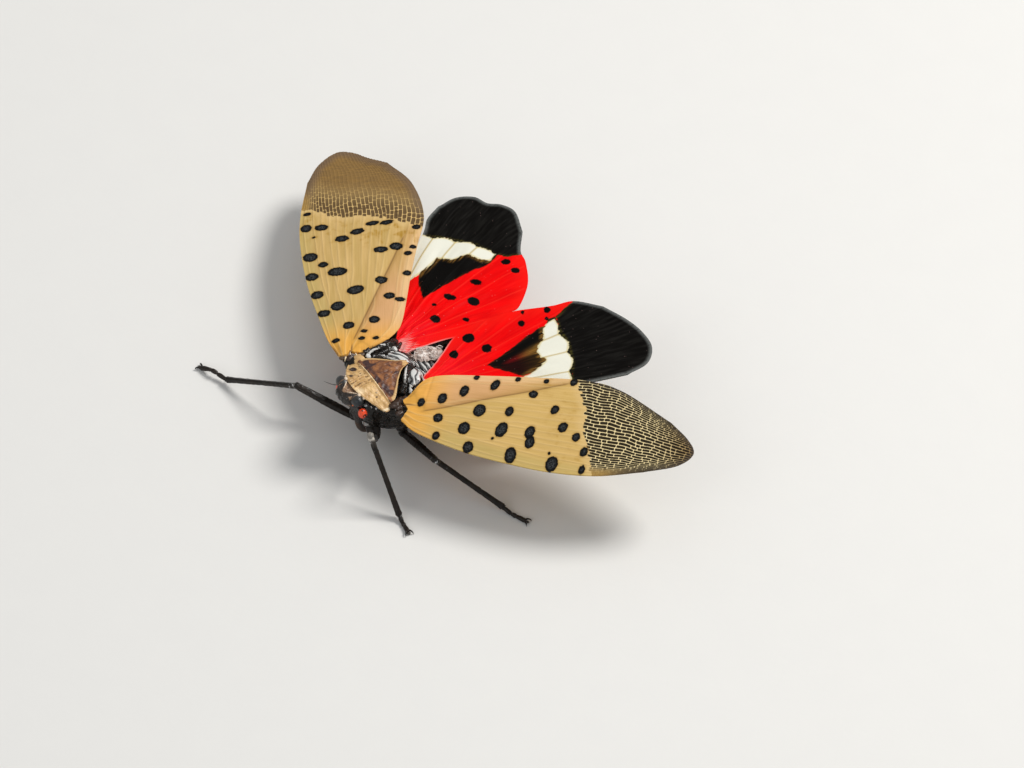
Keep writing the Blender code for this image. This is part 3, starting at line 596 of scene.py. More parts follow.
def wingGrid(plan, alongShares, acrossShares):
    # along and across of a mesh of points inside the wing's four edges
    def edge(knots, shares):
        line = smoothThrough(knots, 121, measured=2)
        return np.stack([np.interp(shares, np.linspace(0, 1, 121), column) for column in line.T], -1)

    lead = edge(plan["lead"], alongShares)[:, None]
    trail = edge(plan["trail"], alongShares)[:, None]
    apex = edge(plan["apex"], acrossShares)[None]
    s = acrossShares[None, :, None]
    t = alongShares[:, None, None]
    root = lead[:1] * (1 - s) + trail[:1] * s
    if "base" in plan:
        base = smoothThrough(plan["base"], 60, measured=2)
        root = root + np.interp(s, base[:, 0], base[:, 1]) * (1.0, 0.0)
    corners = ((1 - s) * (1 - t) * lead[0, 0] + s * (1 - t) * trail[0, 0]
               + (1 - s) * t * apex[0, 0] + s * t * apex[0, -1])
    grid = (1 - s) * lead + s * trail + (1 - t) * root + t * apex - corners
    return grid[..., 0], grid[..., 1]


def wingFrame(plan):
    along = Vector(plan["reach"]).normalized()
    side = 1 if plan["reach"][1] > 0 else -1
    across = along.cross(Vector((0, 0, 1))).normalized() * -side + Vector((0, 0, plan["lift"]))
    across = (across - along * across.dot(along)).normalized()
    over = along.cross(across).normalized()
    if over.z < 0:
        over = -over
    return (np.array(v) for v in (Vector(plan["root"]), along, across, over))


def wingPoints(plan, along, across, height):
    root, u, v, n = wingFrame(plan)
    return root + along[..., None] * u + across[..., None] * v + height[..., None] * n


def outlineDepth(along, across, corners):
    # how far inside a closed outline a point is, and negative outside it
    places = np.stack([along, across], -1)
    corners = np.asarray(corners, float)
    nearest = np.full(along.shape, 99.0)
    inside = np.zeros(along.shape, bool)
    for p, q in zip(corners, np.roll(corners, -1, axis=0)):
        edge = q - p
        share = np.clip(((places - p) @ edge) / (edge @ edge), 0, 1)
        nearest = np.minimum(nearest, np.linalg.norm(places - p - share[..., None] * edge, axis=-1))
        if p[1] != q[1]:
            cross = p[0] + (across - p[1]) / (q[1] - p[1]) * edge[0]
            inside ^= ((p[1] > across) != (q[1] > across)) & (along < cross)
    return np.where(inside, nearest, -nearest)


def spotDepth(along, across, spots, seed):
    draw = np.random.default_rng(seed)
    deepest = np.full(along.shape, -9.0)
    for a, c, tall, wide in spots:
        lean = math.radians(draw.uniform(-16, 4))
        x = (along - a) * math.cos(lean) + (across - c) * math.sin(lean)
        y = (across - c) * math.cos(lean) - (along - a) * math.sin(lean)
        reach = np.sqrt((x / wide) ** 2 + (y / tall) ** 2)
        deepest = np.maximum(deepest, (1 - reach) * min(tall, wide))
    return deepest


def marginDepth(along, across):
    # distance to the free edge of the wing
    rim = np.concatenate([np.stack([along[:, 0], across[:, 0]], -1), np.stack([along[-1], across[-1]], -1),
                          np.stack([along[:, -1], across[:, -1]], -1)[::-1]])[::2]
    nearest = np.full(along.shape, 99.0)
    for a, c in rim:
        nearest = np.minimum(nearest, (along - a) ** 2 + (across - c) ** 2)
    return np.sqrt(nearest)


def wingPiece(name, mesh, skin, relief, underShare, fields, finish):
    # the upper side and the under side, which has only a share of the relief
    along, across = mesh
    middle, half = skin
    top = wingPoints(wingPlans[name], along, across, middle + half + relief)
    under = wingPoints(wingPlans[name], along, across, middle - half - relief * underShare)
    makePiece(name + "_membrane", closedSheet(top, under, fields), finish, [name], sharp=60)


forewingValues = {
    "baseRows": 150,
    "netRows": 200,
    "columns": 210,
    "netShare": 0.58,  # where the finer rows begin
    "thick": 0.11,
    "rim": 0.05,
    # veins: place across the wing at the root and at the net, where it forks off, and from which place
    "veins": [(0.06, 0.055, 0.0, 0.06), (0.2, 0.16, 0.0, 0.2), (0.22, 0.23, 0.4, 0.16),
              (0.33, 0.3, 0.0, 0.33), (0.36, 0.36, 0.52, 0.3), (0.42, 0.43, 0.12, 0.33),
              (0.46, 0.49, 0.45, 0.43), (0.55, 0.56, 0.0, 0.55), (0.58, 0.63, 0.34, 0.56),
              (0.64, 0.7, 0.2, 0.56), (0.68, 0.765, 0.5, 0.7), (0.88, 0.9, 0.1, 0.88),
              (0.95, 0.955, 0.25, 0.9)],
    "veinWidth": 0.07,
    "veinHeight": 0.03,
    "lanes": 33,  # rows of cells across the tip
    "laneShift": 0.14,  # how unevenly the rows begin
    "cellLength": (0.86, 0.6),
    "netHeight": 0.03,
    "netHalfWidth": 0.026,
}


def netCells(along, shares, chord, plan):
    # how far inside its cell each point is, and where each lane of cells begins
    values = forewingValues
    lanes = values["lanes"]
    draw = np.random.default_rng(plan["seed"])
    places = np.stack([along, shares * 9 + 0 * along, 0 * along], -1)
    lane = shares * lanes + 0.16 * ripple(places, 2.2, plan["seed"])
    number = np.clip(np.floor(lane), 0, lanes - 1).astype(int)
    sideways = (0.5 - np.abs(lane - number - 0.5)) * chord / lanes
    lengthways = np.zeros(along.shape)
    starts = draw.uniform(-1, 1, lanes) * values["laneShift"]
    near, far = values["cellLength"]
    for k in range(lanes):
        inLane = number == k
        ends = [11.0 + draw.uniform(0, 0.6)]
        while ends[-1] < 24:
            share = min(1.0, max(0.0, (ends[-1] - 14) / 8))
            ends.append(ends[-1] + (near + (far - near) * share) * draw.uniform(0.5, 1.45))
        ends = np.array(ends)
        here = along[inLane]
        after = np.clip(np.searchsorted(ends, here), 1, len(ends) - 1)
        lengthways[inLane] = np.minimum(here - ends[after - 1], ends[after] - here)
    blunting = 0.012 * np.exp(-((sideways - lengthways) / 0.04) ** 2)
    return np.minimum(sideways, lengthways) - blunting, starts[number]


def forewingVeins(alongShares, shares, swerve, chord):
    # veins run from the root to the net line and fork on the way
    toNet = alongShares[:, None] / 0.62
    vein = np.zeros(shares.shape)
    for atRoot, atNet, start, parent in forewingValues["veins"]:
        own = atRoot + (atNet - atRoot) * toNet
        own = parent + (own - parent) * between(start, start + 0.22, toNet) if start else own
        gap = (shares + swerve - own) * chord
        stretch = between(start - 0.02, start + 0.05, toNet) if start else 1.0
        vein = np.maximum(vein, np.exp(-(gap / forewingValues["veinWidth"]) ** 2) * stretch)
    return vein


def buildForewing(name, finish):
    plan = wingPlans[name]
    values = forewingValues
    seed = plan["seed"]
    nearRows = np.linspace(0, values["netShare"], values["baseRows"], endpoint=False)
    alongShares = np.concatenate([nearRows, np.linspace(values["netShare"], 1, values["netRows"])])
    acrossShares = np.linspace(0, 1, values["columns"])
    along, across = wingGrid(plan, alongShares, acrossShares)
    places = np.stack([along, across, 0 * along], -1)
    chord = np.hypot(along[:, :1] - along[:, -1:], across[:, :1] - across[:, -1:])
    shares = np.broadcast_to(acrossShares[None], along.shape)
    margin = marginDepth(along, across)
    line = np.array(plan["netLine"])
    cells, starts = netCells(along, shares, chord, plan)
    netDepth = along - np.interp(across, line[:, 1], line[:, 0]) + starts
    netOn = between(-0.1, 0.15, netDepth)
    swerve = 0.004 * ripple(places * (1, 0.2, 1), 3.0, seed + 4)
    vein = forewingVeins(alongShares, shares, swerve, chord) * (1 - netOn)
    # the suture of the clavus, and the cleft at the root
    (a0, c0), (a1, c1) = plan["suture"]
    length = math.hypot(a1 - a0, c1 - c0)
    sideways = ((across - c0) * (a1 - a0) - (along - a0) * (c1 - c0)) / length
    onward = ((along - a0) * (a1 - a0) + (across - c0) * (c1 - c0)) / length
    suture = np.exp(-(sideways / 0.06) ** 2) * between(-0.4, 0.3, onward)
    suture = suture * between(length + 0.1, length - 0.4, onward)
    cleft = hump(across, 0.1 + 0.05 * along, 0.07) * between(1.1, 0.3, along)
    suture = np.maximum(0.8 * suture, cleft)
    onClavus = between(-0.8, 0.6, onward)
    clavus = sideways * onClavus - (1 - onClavus) * 0.3
    netVein = (1 - between(0.01, 0.05, cells)) * netOn
    middle = plan["arch"] * np.sin(math.pi * shares)
    middle = middle * np.sin(math.pi * np.minimum(1, alongShares[:, None] + 0.1))
    middle = middle + 0.035 * ripple(places, 3.5, seed + 1) * between(0, 1.2, margin)
    furrow = 0.06 * hump(sideways, 0, 0.22) * between(0.3, 3, onward)
    middle = middle - furrow * between(length, length - 3, onward)
    relief = values["veinHeight"] * vein + values["netHeight"] * netVein - 0.03 * suture
    relief = relief + 0.05 * hump(shares * chord, 0, 0.16) * (1 - 0.7 * netOn)
    folds = 0.5 + 0.5 * np.cos(shares * 2 * math.pi * 4.5 + 1.6 * ripple(places, 2.0, seed + 5))
    folds = (0.04 * folds + 0.1 * hump(shares, 0.5, 0.5)) * between(3.2, 0.9, along)
    middle = middle + folds * between(0, 0.5, margin)
    # two swollen lobes at the root, and the crease that ends them
    lobes = hump(along, 0.5, 0.6) * (hump(across, 0.85, 0.5) + 0.8 * hump(across, -0.5, 0.35))
    crease = 0.05 * hump(along, 1.45, 0.09) * between(-0.3, 0.2, across)
    middle = middle + 0.15 * lobes * between(0, 0.4, margin) - crease
    half = values["rim"] / 2 + (values["thick"] - values["rim"]) / 2 * between(0, 0.35, margin)
    half = half + 0.07 * between(1.2, 0, along)
    contrast = plan["netDark"] * between(plan["netFade"][1], plan["netFade"][0], netDepth)
    fields = {"spotDepth": spotDepth(along, across, plan["spots"], seed),
              "cellDepth": cells - values["netHalfWidth"] * np.clip(chord / 8.5, 0.45, 1),
              "netDepth": netDepth, "vein": vein, "suture": suture, "clavusDepth": clavus,
              "leadDepth": shares * chord, "marginDepth": margin,
              "netContrast": contrast * between(-3.8, -2.4, across),
              "netTone": plan["netTone"] + 0 * along, "wingPlace": places}
    wingPiece(name, (along, across), (middle, half), relief, 0.5, fields, finish)


forewingLook = {
    "corium": (0.54, 0.365, 0.125),
    "coriumBright": (0.70, 0.46, 0.14),
    "coriumWarm": (0.64, 0.43, 0.17),
    "leadEdge": (0.52, 0.41, 0.15),
    "clavus": (0.70, 0.38, 0.19),
    "clavusEdge": (0.84, 0.56, 0.30),
    "root": (0.84, 0.41, 0.07),
    "vein": (0.70, 0.49, 0.22),
    "suture": (0.13, 0.06, 0.025),
    "amber": (0.36, 0.19, 0.035),
    "stain": (0.42, 0.23, 0.03),
    "netVein": (0.86, 0.70, 0.37),
    "netTan": (0.70, 0.48, 0.19),
    "cell": (0.008, 0.004, 0.002),
    "cellBrown": (0.095, 0.056, 0.026),
    "smoke": (0.045, 0.030, 0.016),
    "tipTan": (0.30, 0.175, 0.055),
    "leadGold": (0.50, 0.30, 0.07),
    "leadSmoke": (0.16, 0.105, 0.04),
    "margin": (0.060, 0.048, 0.038),
    "marginPale": (0.15, 0.105, 0.080),
    "spot": (0.004, 0.004, 0.004),
    "spotHeart": (0.050, 0.055, 0.058),
}


def forewingFinish():
    look = forewingLook
    finish, tree, shader = newFinish("forewingMembrane", 0.5, Specular_IOR_Level=0.07)
    place = fieldWay(tree, "wingPlace")
    along = put(tree, "SeparateXYZ", {0: place}).outputs[0]
    netDepth, vein, tone, lead, clavusAt, margin, contrast, spotAt = (field(tree, name) for name in (
        "netDepth", "vein", "netTone", "leadDepth", "clavusDepth", "marginDepth", "netContrast", "spotDepth"))
    fine = streaks(place, 2.2, 0.14)
    clavus = softEdge(place, clavusAt, 0.1, 0.3, 0.12)
    stain = times(ramp(noise(place, 0.9, detail=2.0), 0.5, 0.68), scaled(tone, 0.5, 0.3))
    beforeNet = times(ramp(netDepth, -4.0, -2.2), ramp(netDepth, 0.0, -0.8))
    colour = tint(streaks(place, 6.0, 0.8), look["corium"], look["coriumWarm"])
    colour = layered(colour, look, [
        # netTone picks painted light: a brighter corium on the left wing, and a paler net and rim on the
        # right that stand for glare
        (minus(1.0, tone), 0.4, "coriumBright"),
        (ramp(lead, 1.5, 0.7), 0.5, "leadEdge"),
        (clavus, scaled(ramp(along, 10.5, 6.0), 0.5, 0.3), "clavus"),
        (times(ramp(margin, 0.75, 0.45), clavus), 0.6, "clavusEdge"),
        (ramp(along, 4.2, 0.6), 0.9, "root"),
        (times(stain, beforeNet), plus(fine, 0.4), "stain"),
        (fine, 0.2, "amber"),
        # painted shade along both sides of the claval suture's furrow
        (ramp(calc("ABSOLUTE", clavusAt), 0.4, 0.0), 0.3, "amber"),
        (times(ramp(clavusAt, 1.2, 0.0), clavus), 0.3, "amber"),
        (vein, 0.32, "vein"),
        (ramp(netDepth, -0.9, -0.1), 0.5, "vein")])
    # the net of the tip; its paler lines, brown cells and pale rim on the right wing are a painted glare
    line = layered(tint(ramp(netDepth, 4.5, 9.5), look["netVein"], look["tipTan"]), look, [
        (tone, None, "netTan"), (minus(1.0, contrast), None, "tipTan")])
    heart = tint(tone, tint(ramp(netDepth, 7.0, 12.0), look["cell"], look["smoke"]), look["cellBrown"])
    cell = softEdge(place, field(tree, "cellDepth"), 0.02, 0.08, 0.012)
    net = tint(times(cell, scaled(contrast, 0.8, 0.18)), line, heart)
    clot = times(ramp(noise(place, 0.45, detail=1.5), 0.6, 0.68), ramp(netDepth, 3.5, 0.8))
    net = tint(times(clot, times(contrast, 0.75)), net, heart)
    leadColour = tint(ramp(netDepth, 1.0, 4.0), look["leadGold"], look["leadSmoke"])
    net = tint(times(ramp(lead, 1.2, 0.3), 0.6), net, leadColour)
    weave = times(streaks(place, 0.12, 1.2), times(minus(1.0, contrast), 0.3))
    net = tint(weave, net, look["margin"])
    colour = tint(softEdge(place, netDepth, 0.3, 0.35, 0.05), colour, net)
    fromRim = minus(margin, times(tone, 0.3))
    rimSmoke = times(ramp(fromRim, 0.65, -0.1), ramp(netDepth, 0.2, 2.5))
    rimColour = tint(tone, look["margin"], look["marginPale"])
    colour = tint(times(rimSmoke, scaled(tone, -0.25, 0.8)), colour, rimColour)
    # the darker edge of the root on the right wing only, the suture and the spots
    rootEdgeDark = times(ramp(margin, 0.2, 0.0), ramp(along, 1.7, 0.3))
    colour = layered(colour, look, [
        (rootEdgeDark, times(tone, 0.7), "suture"),
        (field(tree, "suture"), 0.8, "suture"),
        (ramp(spotAt, -0.16, 0.0), 0.35, "amber")])
    # grey hearts of the black spots: a painted sheen
    glow = times(ramp(spotAt, 0.06, 0.3), ramp(noise(place, 0.13), 0.35, 0.65))
    black = tint(glow, look["spot"], look["spotHeart"])
    colour = tint(softEdge(place, spotAt, 0.16, 0.22, 0.035), colour, black)
    dress(shader, colour, plus(times(fine, 0.5), noise(place, 0.08)), 0.4, 0.01, scaled(fine, 0.15, 0.46))
    return finish


hindwingValues = {
    "rows": 290,
    "columns": 165,
    "thick": 0.09,
    "rim": 0.04,
    "bandReach": 11.0,  # the vein angles are measured this far from the root
    "bend": (0.9, 0.8, 0.7, 0.5, 0.3, 0.2, 0.2, 0.1, 0.1, 0.0, 0.0, 0.0),  # degrees for each millimetre
    "veinWidth": 0.05,
    "veinHeight": 0.035,
    "pleat": 0.06,
    "scallop": 0.26,
    "step": 0.25,  # how far the inner edge of the ivory band jumps at a vein
}


def buildHindwing(name, finish):
    plan = wingPlans[name]
    values = hindwingValues
    seed = plan["seed"]
    acrossShares = np.linspace(0, 1, values["columns"])
    along, across = wingGrid(plan, np.linspace(0, 1, values["rows"]), acrossShares)
    places = np.stack([along, across, 0 * along], -1)
    a0, c0 = plan["fanRoot"]
    reach = np.hypot(along - a0, across - c0)
    angle = np.degrees(np.arctan2(across - c0, along - a0))
    # the veins fan out; share is the place between two of them
    lanes = np.array(plan["veinAngles"]) + np.array(values["bend"]) * (reach[..., None] - values["bandReach"])
    lanes = np.maximum.accumulate(lanes, axis=-1)
    below = np.clip((angle[..., None] >= lanes).sum(axis=-1) - 1, 0, len(plan["veinAngles"]) - 2)
    low, high = (np.take_along_axis(lanes, below[..., None] + k, -1)[..., 0] for k in (0, 1))
    share = np.clip((angle - low) / np.maximum(high - low, 1e-3), 0, 1)
    veinGap = (0.5 - np.abs(share - 0.5)) * (np.radians(high - low) * reach)
    margin = marginDepth(along, across)
    vein = np.exp(-(veinGap / values["veinWidth"]) ** 2) * between(0.0, 0.3, margin)
    swell = between(0.5, 4, reach) * between(0, 1.2, margin)
    middle = values["pleat"] * np.cos(math.pi * (below + share)) * swell
    middle = middle + 0.06 * ripple(places * (0.6, 1.6, 1), 0.9, seed) * between(4.5, 0.8, reach)
    middle = middle + 0.05 * ripple(places, 4.0, seed + 2) * swell
    lanePlaces = np.stack([reach * 0.35, (below + share) * 1.6, 0 * reach], -1)
    middle = middle + 0.02 * ripple(lanePlaces, 0.9, seed + 3) * swell
    half = values["rim"] / 2 + (values["thick"] - values["rim"]) / 2 * between(0, 0.4, margin)
    half = half + 0.06 * between(1.5, 0, along)
    half = half + 0.05 * hump(acrossShares * 5, 0, 0.12)
    plain, tip, patch = (outlineDepth(along, across, plan[key]) for key in ("white", "darkTip", "patch"))
    outward = between(-1.3, -0.5, tip)
    steps = np.random.default_rng(seed + 8).uniform(-values["step"], values["step"], len(plan["veinAngles"]))
    white = plain + values["scallop"] * (np.sin(math.pi * share) - 0.75) * outward
    white = white + steps[below] * (1 - outward)
    tip = np.maximum(tip, plain + 0.15 * outward - 0.6 * (1 - outward))
    startA, startC, slope = plan.get("brownLine", (99.0, 0.0, 0.0))
    offLine = across - startC - slope * (along - startA)
    brown = hump(offLine, 0, 0.12 + 0.075 * np.clip(along - startA, 0, 9))
    brown = brown * between(startA + 0.4, startA + 1.6, along)
    brown = np.maximum(brown, 0.1 * between(0, -0.25, offLine) * between(startA - 0.1, startA + 0.1, along))
    # dark near the root by the leading edge: partly the wing's own dark base, partly painted shade, deeper on
    # the right wing
    darkRootAndShade = plan["darkRootAndShade"] - along - 2.5 * np.clip(across + 1.5, 0, 9)
    fields = {"spotDepth": spotDepth(along, across, plan["spots"], seed),
              "patchDepth": np.maximum(patch, darkRootAndShade), "whiteDepth": white, "tipDepth": tip,
              "waxShare": between(plan["waxReach"], 0.6, reach) * between(-1.6, -0.6, across - 0.1 * along),
              "brownShare": brown, "vein": vein, "marginDepth": margin, "rootDepth": reach,
              "wingPlace": places, "lanePlace": np.stack([reach * 0.5, (below + share) * 1.6, 0 * reach], -1)}
    relief = values["veinHeight"] * vein
    wingPiece(name, (along, across), (middle, half), relief, 1.0, fields, finish)


hindwingLook = {
    "red": (0.90, 0.001, 0.002),
    "redDeep": (0.72, 0.001, 0.002),
    "pink": (0.88, 0.008, 0.020),
    "orange": (0.92, 0.012, 0.006),
    "redVein": (0.94, 0.030, 0.015),
    "wax": (0.80, 0.50, 0.46),
    "brown": (0.045, 0.012, 0.004),
    "black": (0.003, 0.0025, 0.002),
    "golden": (0.26, 0.13, 0.025),
    "wine": (0.13, 0.003, 0.004),
    "olive": (0.10, 0.085, 0.012),
    "ivoryEdge": (0.62, 0.50, 0.17),
    "ivory": (0.79, 0.78, 0.67),
    "ivoryVein": (0.48, 0.35, 0.10),
    "greyVein": (0.016, 0.015, 0.013),
    "margin": (0.22, 0.23, 0.22),
}


def hindwingFinish():
    look = hindwingLook
    finish, tree, shader = newFinish("hindwingMembrane", 0.45, Specular_IOR_Level=0.04)
    place, lane = (fieldWay(tree, name) for name in ("wingPlace", "lanePlace"))
    vein, margin, root, wax, patchAt, whiteAt, tipAt = (field(tree, name) for name in (
        "vein", "marginDepth", "rootDepth", "waxShare", "patchDepth", "whiteDepth", "tipDepth"))
    fine = streaks(lane, 0.9, 0.16)
    fineSquared = power(fine, 2.0)
    colour = layered(tint(streaks(lane, 2.0, 0.9), look["red"], look["redDeep"]), look, [
        (ramp(root, 6.0, 2.0), 0.6, "pink"),
        (ramp(margin, 1.4, 0.1), 0.5, "orange"),
        (vein, 0.5, "redVein"),
        (power(fine, 3.0), 0.12, "redVein"),
        (ramp(plus(wax, times(fine, 0.7)), 0.85, 1.25), 0.85, "wax")])
    # black and brown patch, black tip, and the ivory band over both
    core = ramp(plus(patchAt, times(fine, 0.35)), 0.0, 0.42)
    dark = layered(tint(core, look["brown"], look["black"]), look, [
        (times(ramp(whiteAt, -0.45, -0.08), fineSquared), 0.9, "golden")])
    brown = tint(ramp(root, 9.6, 7.6), look["golden"], look["wine"])
    dark = tint(times(field(tree, "brownShare"), scaled(fine, 0.7, 0.45)), dark, brown)
    colour = tint(softEdge(lane, patchAt, 0.35, 0.4, 0.06), colour, dark)
    dark = layered(tint(times(fineSquared, 0.5), look["black"], look["greyVein"]), look, [
        (times(ramp(margin, 0.4, 0.0), ramp(noise(lane, 0.12), 0.2, 0.5)), 0.6, "margin"),
        (times(ramp(tipAt, 0.3, 0.03), power(fine, 1.5)), 0.7, "olive")])
    colour = tint(softEdge(lane, tipAt, 0.4, 0.3, 0.05), colour, dark)
    colour = layered(colour, look, [(times(ramp(margin, 0.16, 0.04), ramp(root, 6.0, 4.0)), 0.5, "wax")])
    ivory = layered(tint(times(power(vein, 0.6), 0.85), look["ivory"], look["ivoryVein"]), look, [
        (ramp(whiteAt, 0.2, 0.02), 0.6, "ivoryEdge")])
    colour = tint(softEdge(lane, whiteAt, 0.5, 0.28, 0.05), colour, ivory)
    # spots, and sparse flecks of wax
    cells = put(tree, "TexVoronoi", {"Vector": place, "Scale": 2.4}).outputs["Distance"]
    colour = layered(colour, look, [
        (softEdge(place, field(tree, "spotDepth"), 0.2, 0.22, 0.045), None, "black"),
        (ramp(cells, 0.09, 0.03), scaled(ramp(root, 8.0, 4.0), 0.45, 0.2), "wax")])
    dress(shader, colour, plus(times(fine, 0.6), noise(place, 0.08)), 0.4, 0.01, scaled(fine, 0.15, 0.42))
    return finish


wingSkin = forewingFinish()
for side in ("left", "right"):
    buildForewing("forewing_" + side, wingSkin)
print("forewings built")
wingSkin = hindwingFinish()
for side in ("left", "right"):
    buildHindwing("hindwing_" + side, wingSkin)
print("hindwings built")


# Head
headValues = {
    "rows": 90,
    "columns": 160,
    "capRows": 30,
    "squareness": 3.0,
    # height, back, front, half width, height of the three face keels
    "sections": [(2.75, 2.5, 2.95, 0.3, 0.0), (3.3, 2.5, 3.08, 0.45, 0.02), (4.1, 2.55, 3.22, 0.68, 0.05),
                 (4.8, 2.6, 3.36, 0.9, 0.08), (5.4, 2.65, 3.72, 1.0, 0.1), (5.85, 2.7, 4.1, 0.98, 0.1),
                 (6.25, 2.7, 4.38, 0.95, 0.09), (6.55, 2.7, 4.42, 0.92, 0.05), (6.72, 2.7, 4.34, 0.87, 0.02),
                 (6.8, 2.7, 4.2, 0.8, 0.0)],
    "ridgeFront": (3.95, 0.14),  # fwd and left where each crown ridge begins
    "ridgeSpread": 0.82,  # how fast the ridges spread towards the back
    # pale knobs behind the eye and at the end of each ridge: fwd, left, up, radius
    "knobs": [(3.2, 1.0, 6.84, 0.15), (2.98, 1.3, 6.66, 0.12)],
    "keels": (-0.45, 0.0, 0.45),
    "bow": 0.09,
    "eye": (3.42, 1.08, 6.48),
    "eyeRadii": (0.48, 0.64, 0.46),
}


def headSkin():
    values = headValues
    bow = values["bow"]
    line = smoothThrough(values["sections"], values["rows"], measured=3)
    up, back, front, half, keel = (column[:, None] for column in line.T)
    wide, deep = squaredRound(values["columns"], values["squareness"])
    left = half * wide
    fwd = (back + front) / 2 + (front - back) / 2 * deep
    for place in values["keels"]:
        fwd = fwd + keel * hump(wide, place, 0.07) * (deep > 0)
    fwd = fwd - 0.03 * hump(np.abs(wide), 0.24, 0.1) * (deep > 0) * (keel > 0.03)
    side = np.stack([fwd - bow * left ** 2, left, up + 0 * left], -1)
    # the crown: rings drawn in from the top section, with raised edges round two hollows
    centre = side[-1].mean(axis=0)
    cap = centre + (side[-1] - centre) * np.linspace(1, 0.02, values["capRows"])[1:, None, None]
    fwd, left = cap[..., 0], cap[..., 1]
    front = fwd + bow * left ** 2
    ridgeFwd, ridgeLeft = values["ridgeFront"]
    ridgeAt = ridgeLeft + values["ridgeSpread"] * np.clip(ridgeFwd - fwd, 0, 9)
    inside = between(0.1, -0.1, np.abs(left) - ridgeAt)
    sideRidge = hump(np.abs(left), ridgeAt, 0.06) * between(4.1, 3.9, fwd) * between(2.9, 3.05, fwd)
    midRidge = hump(left, 0, 0.04) * between(4.2, 3.9, front) * between(2.8, 3.2, fwd)
    cap[..., 2] += 0.11 * sideRidge + 0.04 * midRidge - 0.05 * inside * hump(fwd, 3.2, 0.35)
    rings = np.concatenate([side, cap])
    rough = 0.012 * ripple(rings, 0.28, 11) + 0.008 * ripple(rings, 0.13, 12)
    rings = rings + surfaceWays(rings, closed=True) * rough[..., None]
    # dark face, sides and mottling; pale ridges, whose paleness is partly a painted highlight along their
    # tops
    fwd, left, up = (rings[..., k] for k in range(3))
    front = fwd + bow * left ** 2
    face = between(3.85, 4.15, front) * between(5.3, 5.8, up)
    dark = np.maximum(0.85 * face, between(5.9, 5.3, up))
    dark = np.maximum(dark, between(0.7, 0.9, np.abs(left)) * between(6.65, 6.5, up))
    dark = np.maximum(dark, 0.5 * between(0.35, 1.1, ripple(rings, 0.4, 13)))
    crown = slice(values["rows"], None)
    dark[crown] = np.maximum(dark[crown], 0.75 * (1 - inside))
    top = np.zeros(up.shape)
    top[crown] = sideRidge * between(4.05, 3.6, fwd[crown]) + 0.25 * midRidge
    return closedLoft(rings, {"dark": dark - 1.2 * top, "pale": top, "wax": 0.12 + 0.18 * face})


def eyeRing(way):
    # ridge that the eye sits in
    fwd, left, up = headValues["eye"]
    rings = []
    for a in fullTurn(56):
        outward = np.array((math.cos(a), 0, math.sin(a)))
        middle = np.array((fwd, way * (left - 0.12), up)) + outward * (0.46, 0, 0.43)
        rings.append([middle + 0.045 * (math.cos(b) * outward + math.sin(b) * np.array((0, 1.0, 0)))
                      for b in fullTurn(12)])
    rings = np.array(rings)
    index = np.arange(rings[..., 0].size).reshape(rings.shape[:2])
    # the ring is darker on its lower half, a painted shade
    high = between(0.0, 0.3, rings[..., 2].ravel() - up)
    fields = {"dark": 0.5 + 0.4 * (1 - high), "wax": 0.1 + 0 * high}
    return shape(rings, gridQuads(np.pad(index, ((0, 1), (0, 1)), mode="wrap")), [], fields)


def headKnob(way, fwd, left, up, size):
    radii = (size, size * 1.2, size * 0.8)
    return pebble((fwd, way * left, up), radii, 0.02, 0.15, 14, 24, 34, {"pale": 0.8, "wax": 0.3})


knobs = [headKnob(way, *knob) for way in (1, -1) for knob in headValues["knobs"]]
headShapes = [headSkin(), eyeRing(1), eyeRing(-1)] + knobs
makePiece("head_shell", headShapes, shells["headShell"], ["head"])

eyeLook = {
    "black": (0.004, 0.006, 0.007),
    "grey": (0.018, 0.023, 0.027),
    "rim": (0.05, 0.045, 0.04),
    "facets": 28.0,  # in a millimetre
}
antennaLook = {
    "orange": (0.80, 0.030, 0.006),
    "orangeBright": (0.92, 0.085, 0.012),
    "wart": (0.95, 0.22, 0.07),
    "black": (0.012, 0.009, 0.008),
}


def eyeFinish():
    look = eyeLook
    finish, tree, shader = newFinish("eyeFacets", 0.3, Specular_IOR_Level=0.35,
                                     Coat_Weight=0.25, Coat_Roughness=0.15)
    place = bodyPlace(tree)
    cells = put(tree, "TexVoronoi", {"Vector": place, "Scale": look["facets"]}).outputs["Distance"]
    colour = layered(tint(noise(place, 0.5, detail=2.0), look["black"], look["grey"]), look, [
        (field(tree, "pale"), 0.6, "rim")])
    dress(shader, colour, cells, 0.7, 0.012)
    return finish


def antennaFinish():
    look = antennaLook
    finish, tree, shader = newFinish("antennaOrange", 0.4, Coat_Weight=0.2, Coat_Roughness=0.25)
    grain = effect("shell grain", bodyPlace(tree), {"Size": 0.05, "Mottle size": 0.25})
    colour = layered(tint(grain["Mottle"], look["orange"], look["orangeBright"]), look, [
        (ramp(field(tree, "pale"), 0.4, 0.9), None, "wart"),
        (ramp(field(tree, "dark"), 0.35, 0.65), None, "black")])
    dress(shader, colour, grain["Height"], 0.5, 0.01)
    return finish


antennaValues = {
    "bulb": (3.3, 1.72, 5.53),
    "bulbRadii": (0.35, 0.35, 0.43),
    "droop": (0, 0.1, 0.24),  # how much nearer the head and lower the right one hangs
    "warts": 90,
    "wartSize": 0.085,
    "wartHeight": 0.06,
    "wartTurn": 2.39996,  # golden angle, which spreads the warts evenly
    # knots: fwd from the bulb, left, up from the bulb, radius
    "stalk": [(-0.02, 0.9, 0.02, 0.2), (0, 1.3, 0, 0.17), (0, 1.5, 0, 0.2)],
    "bristle": [(0.05, 2.05, -0.06, 0.035), (0.3, 2.4, -0.16, 0.024), (0.5, 2.7, -0.17, 0.017),
                (0.7, 3.0, -0.15, 0.008)],
}


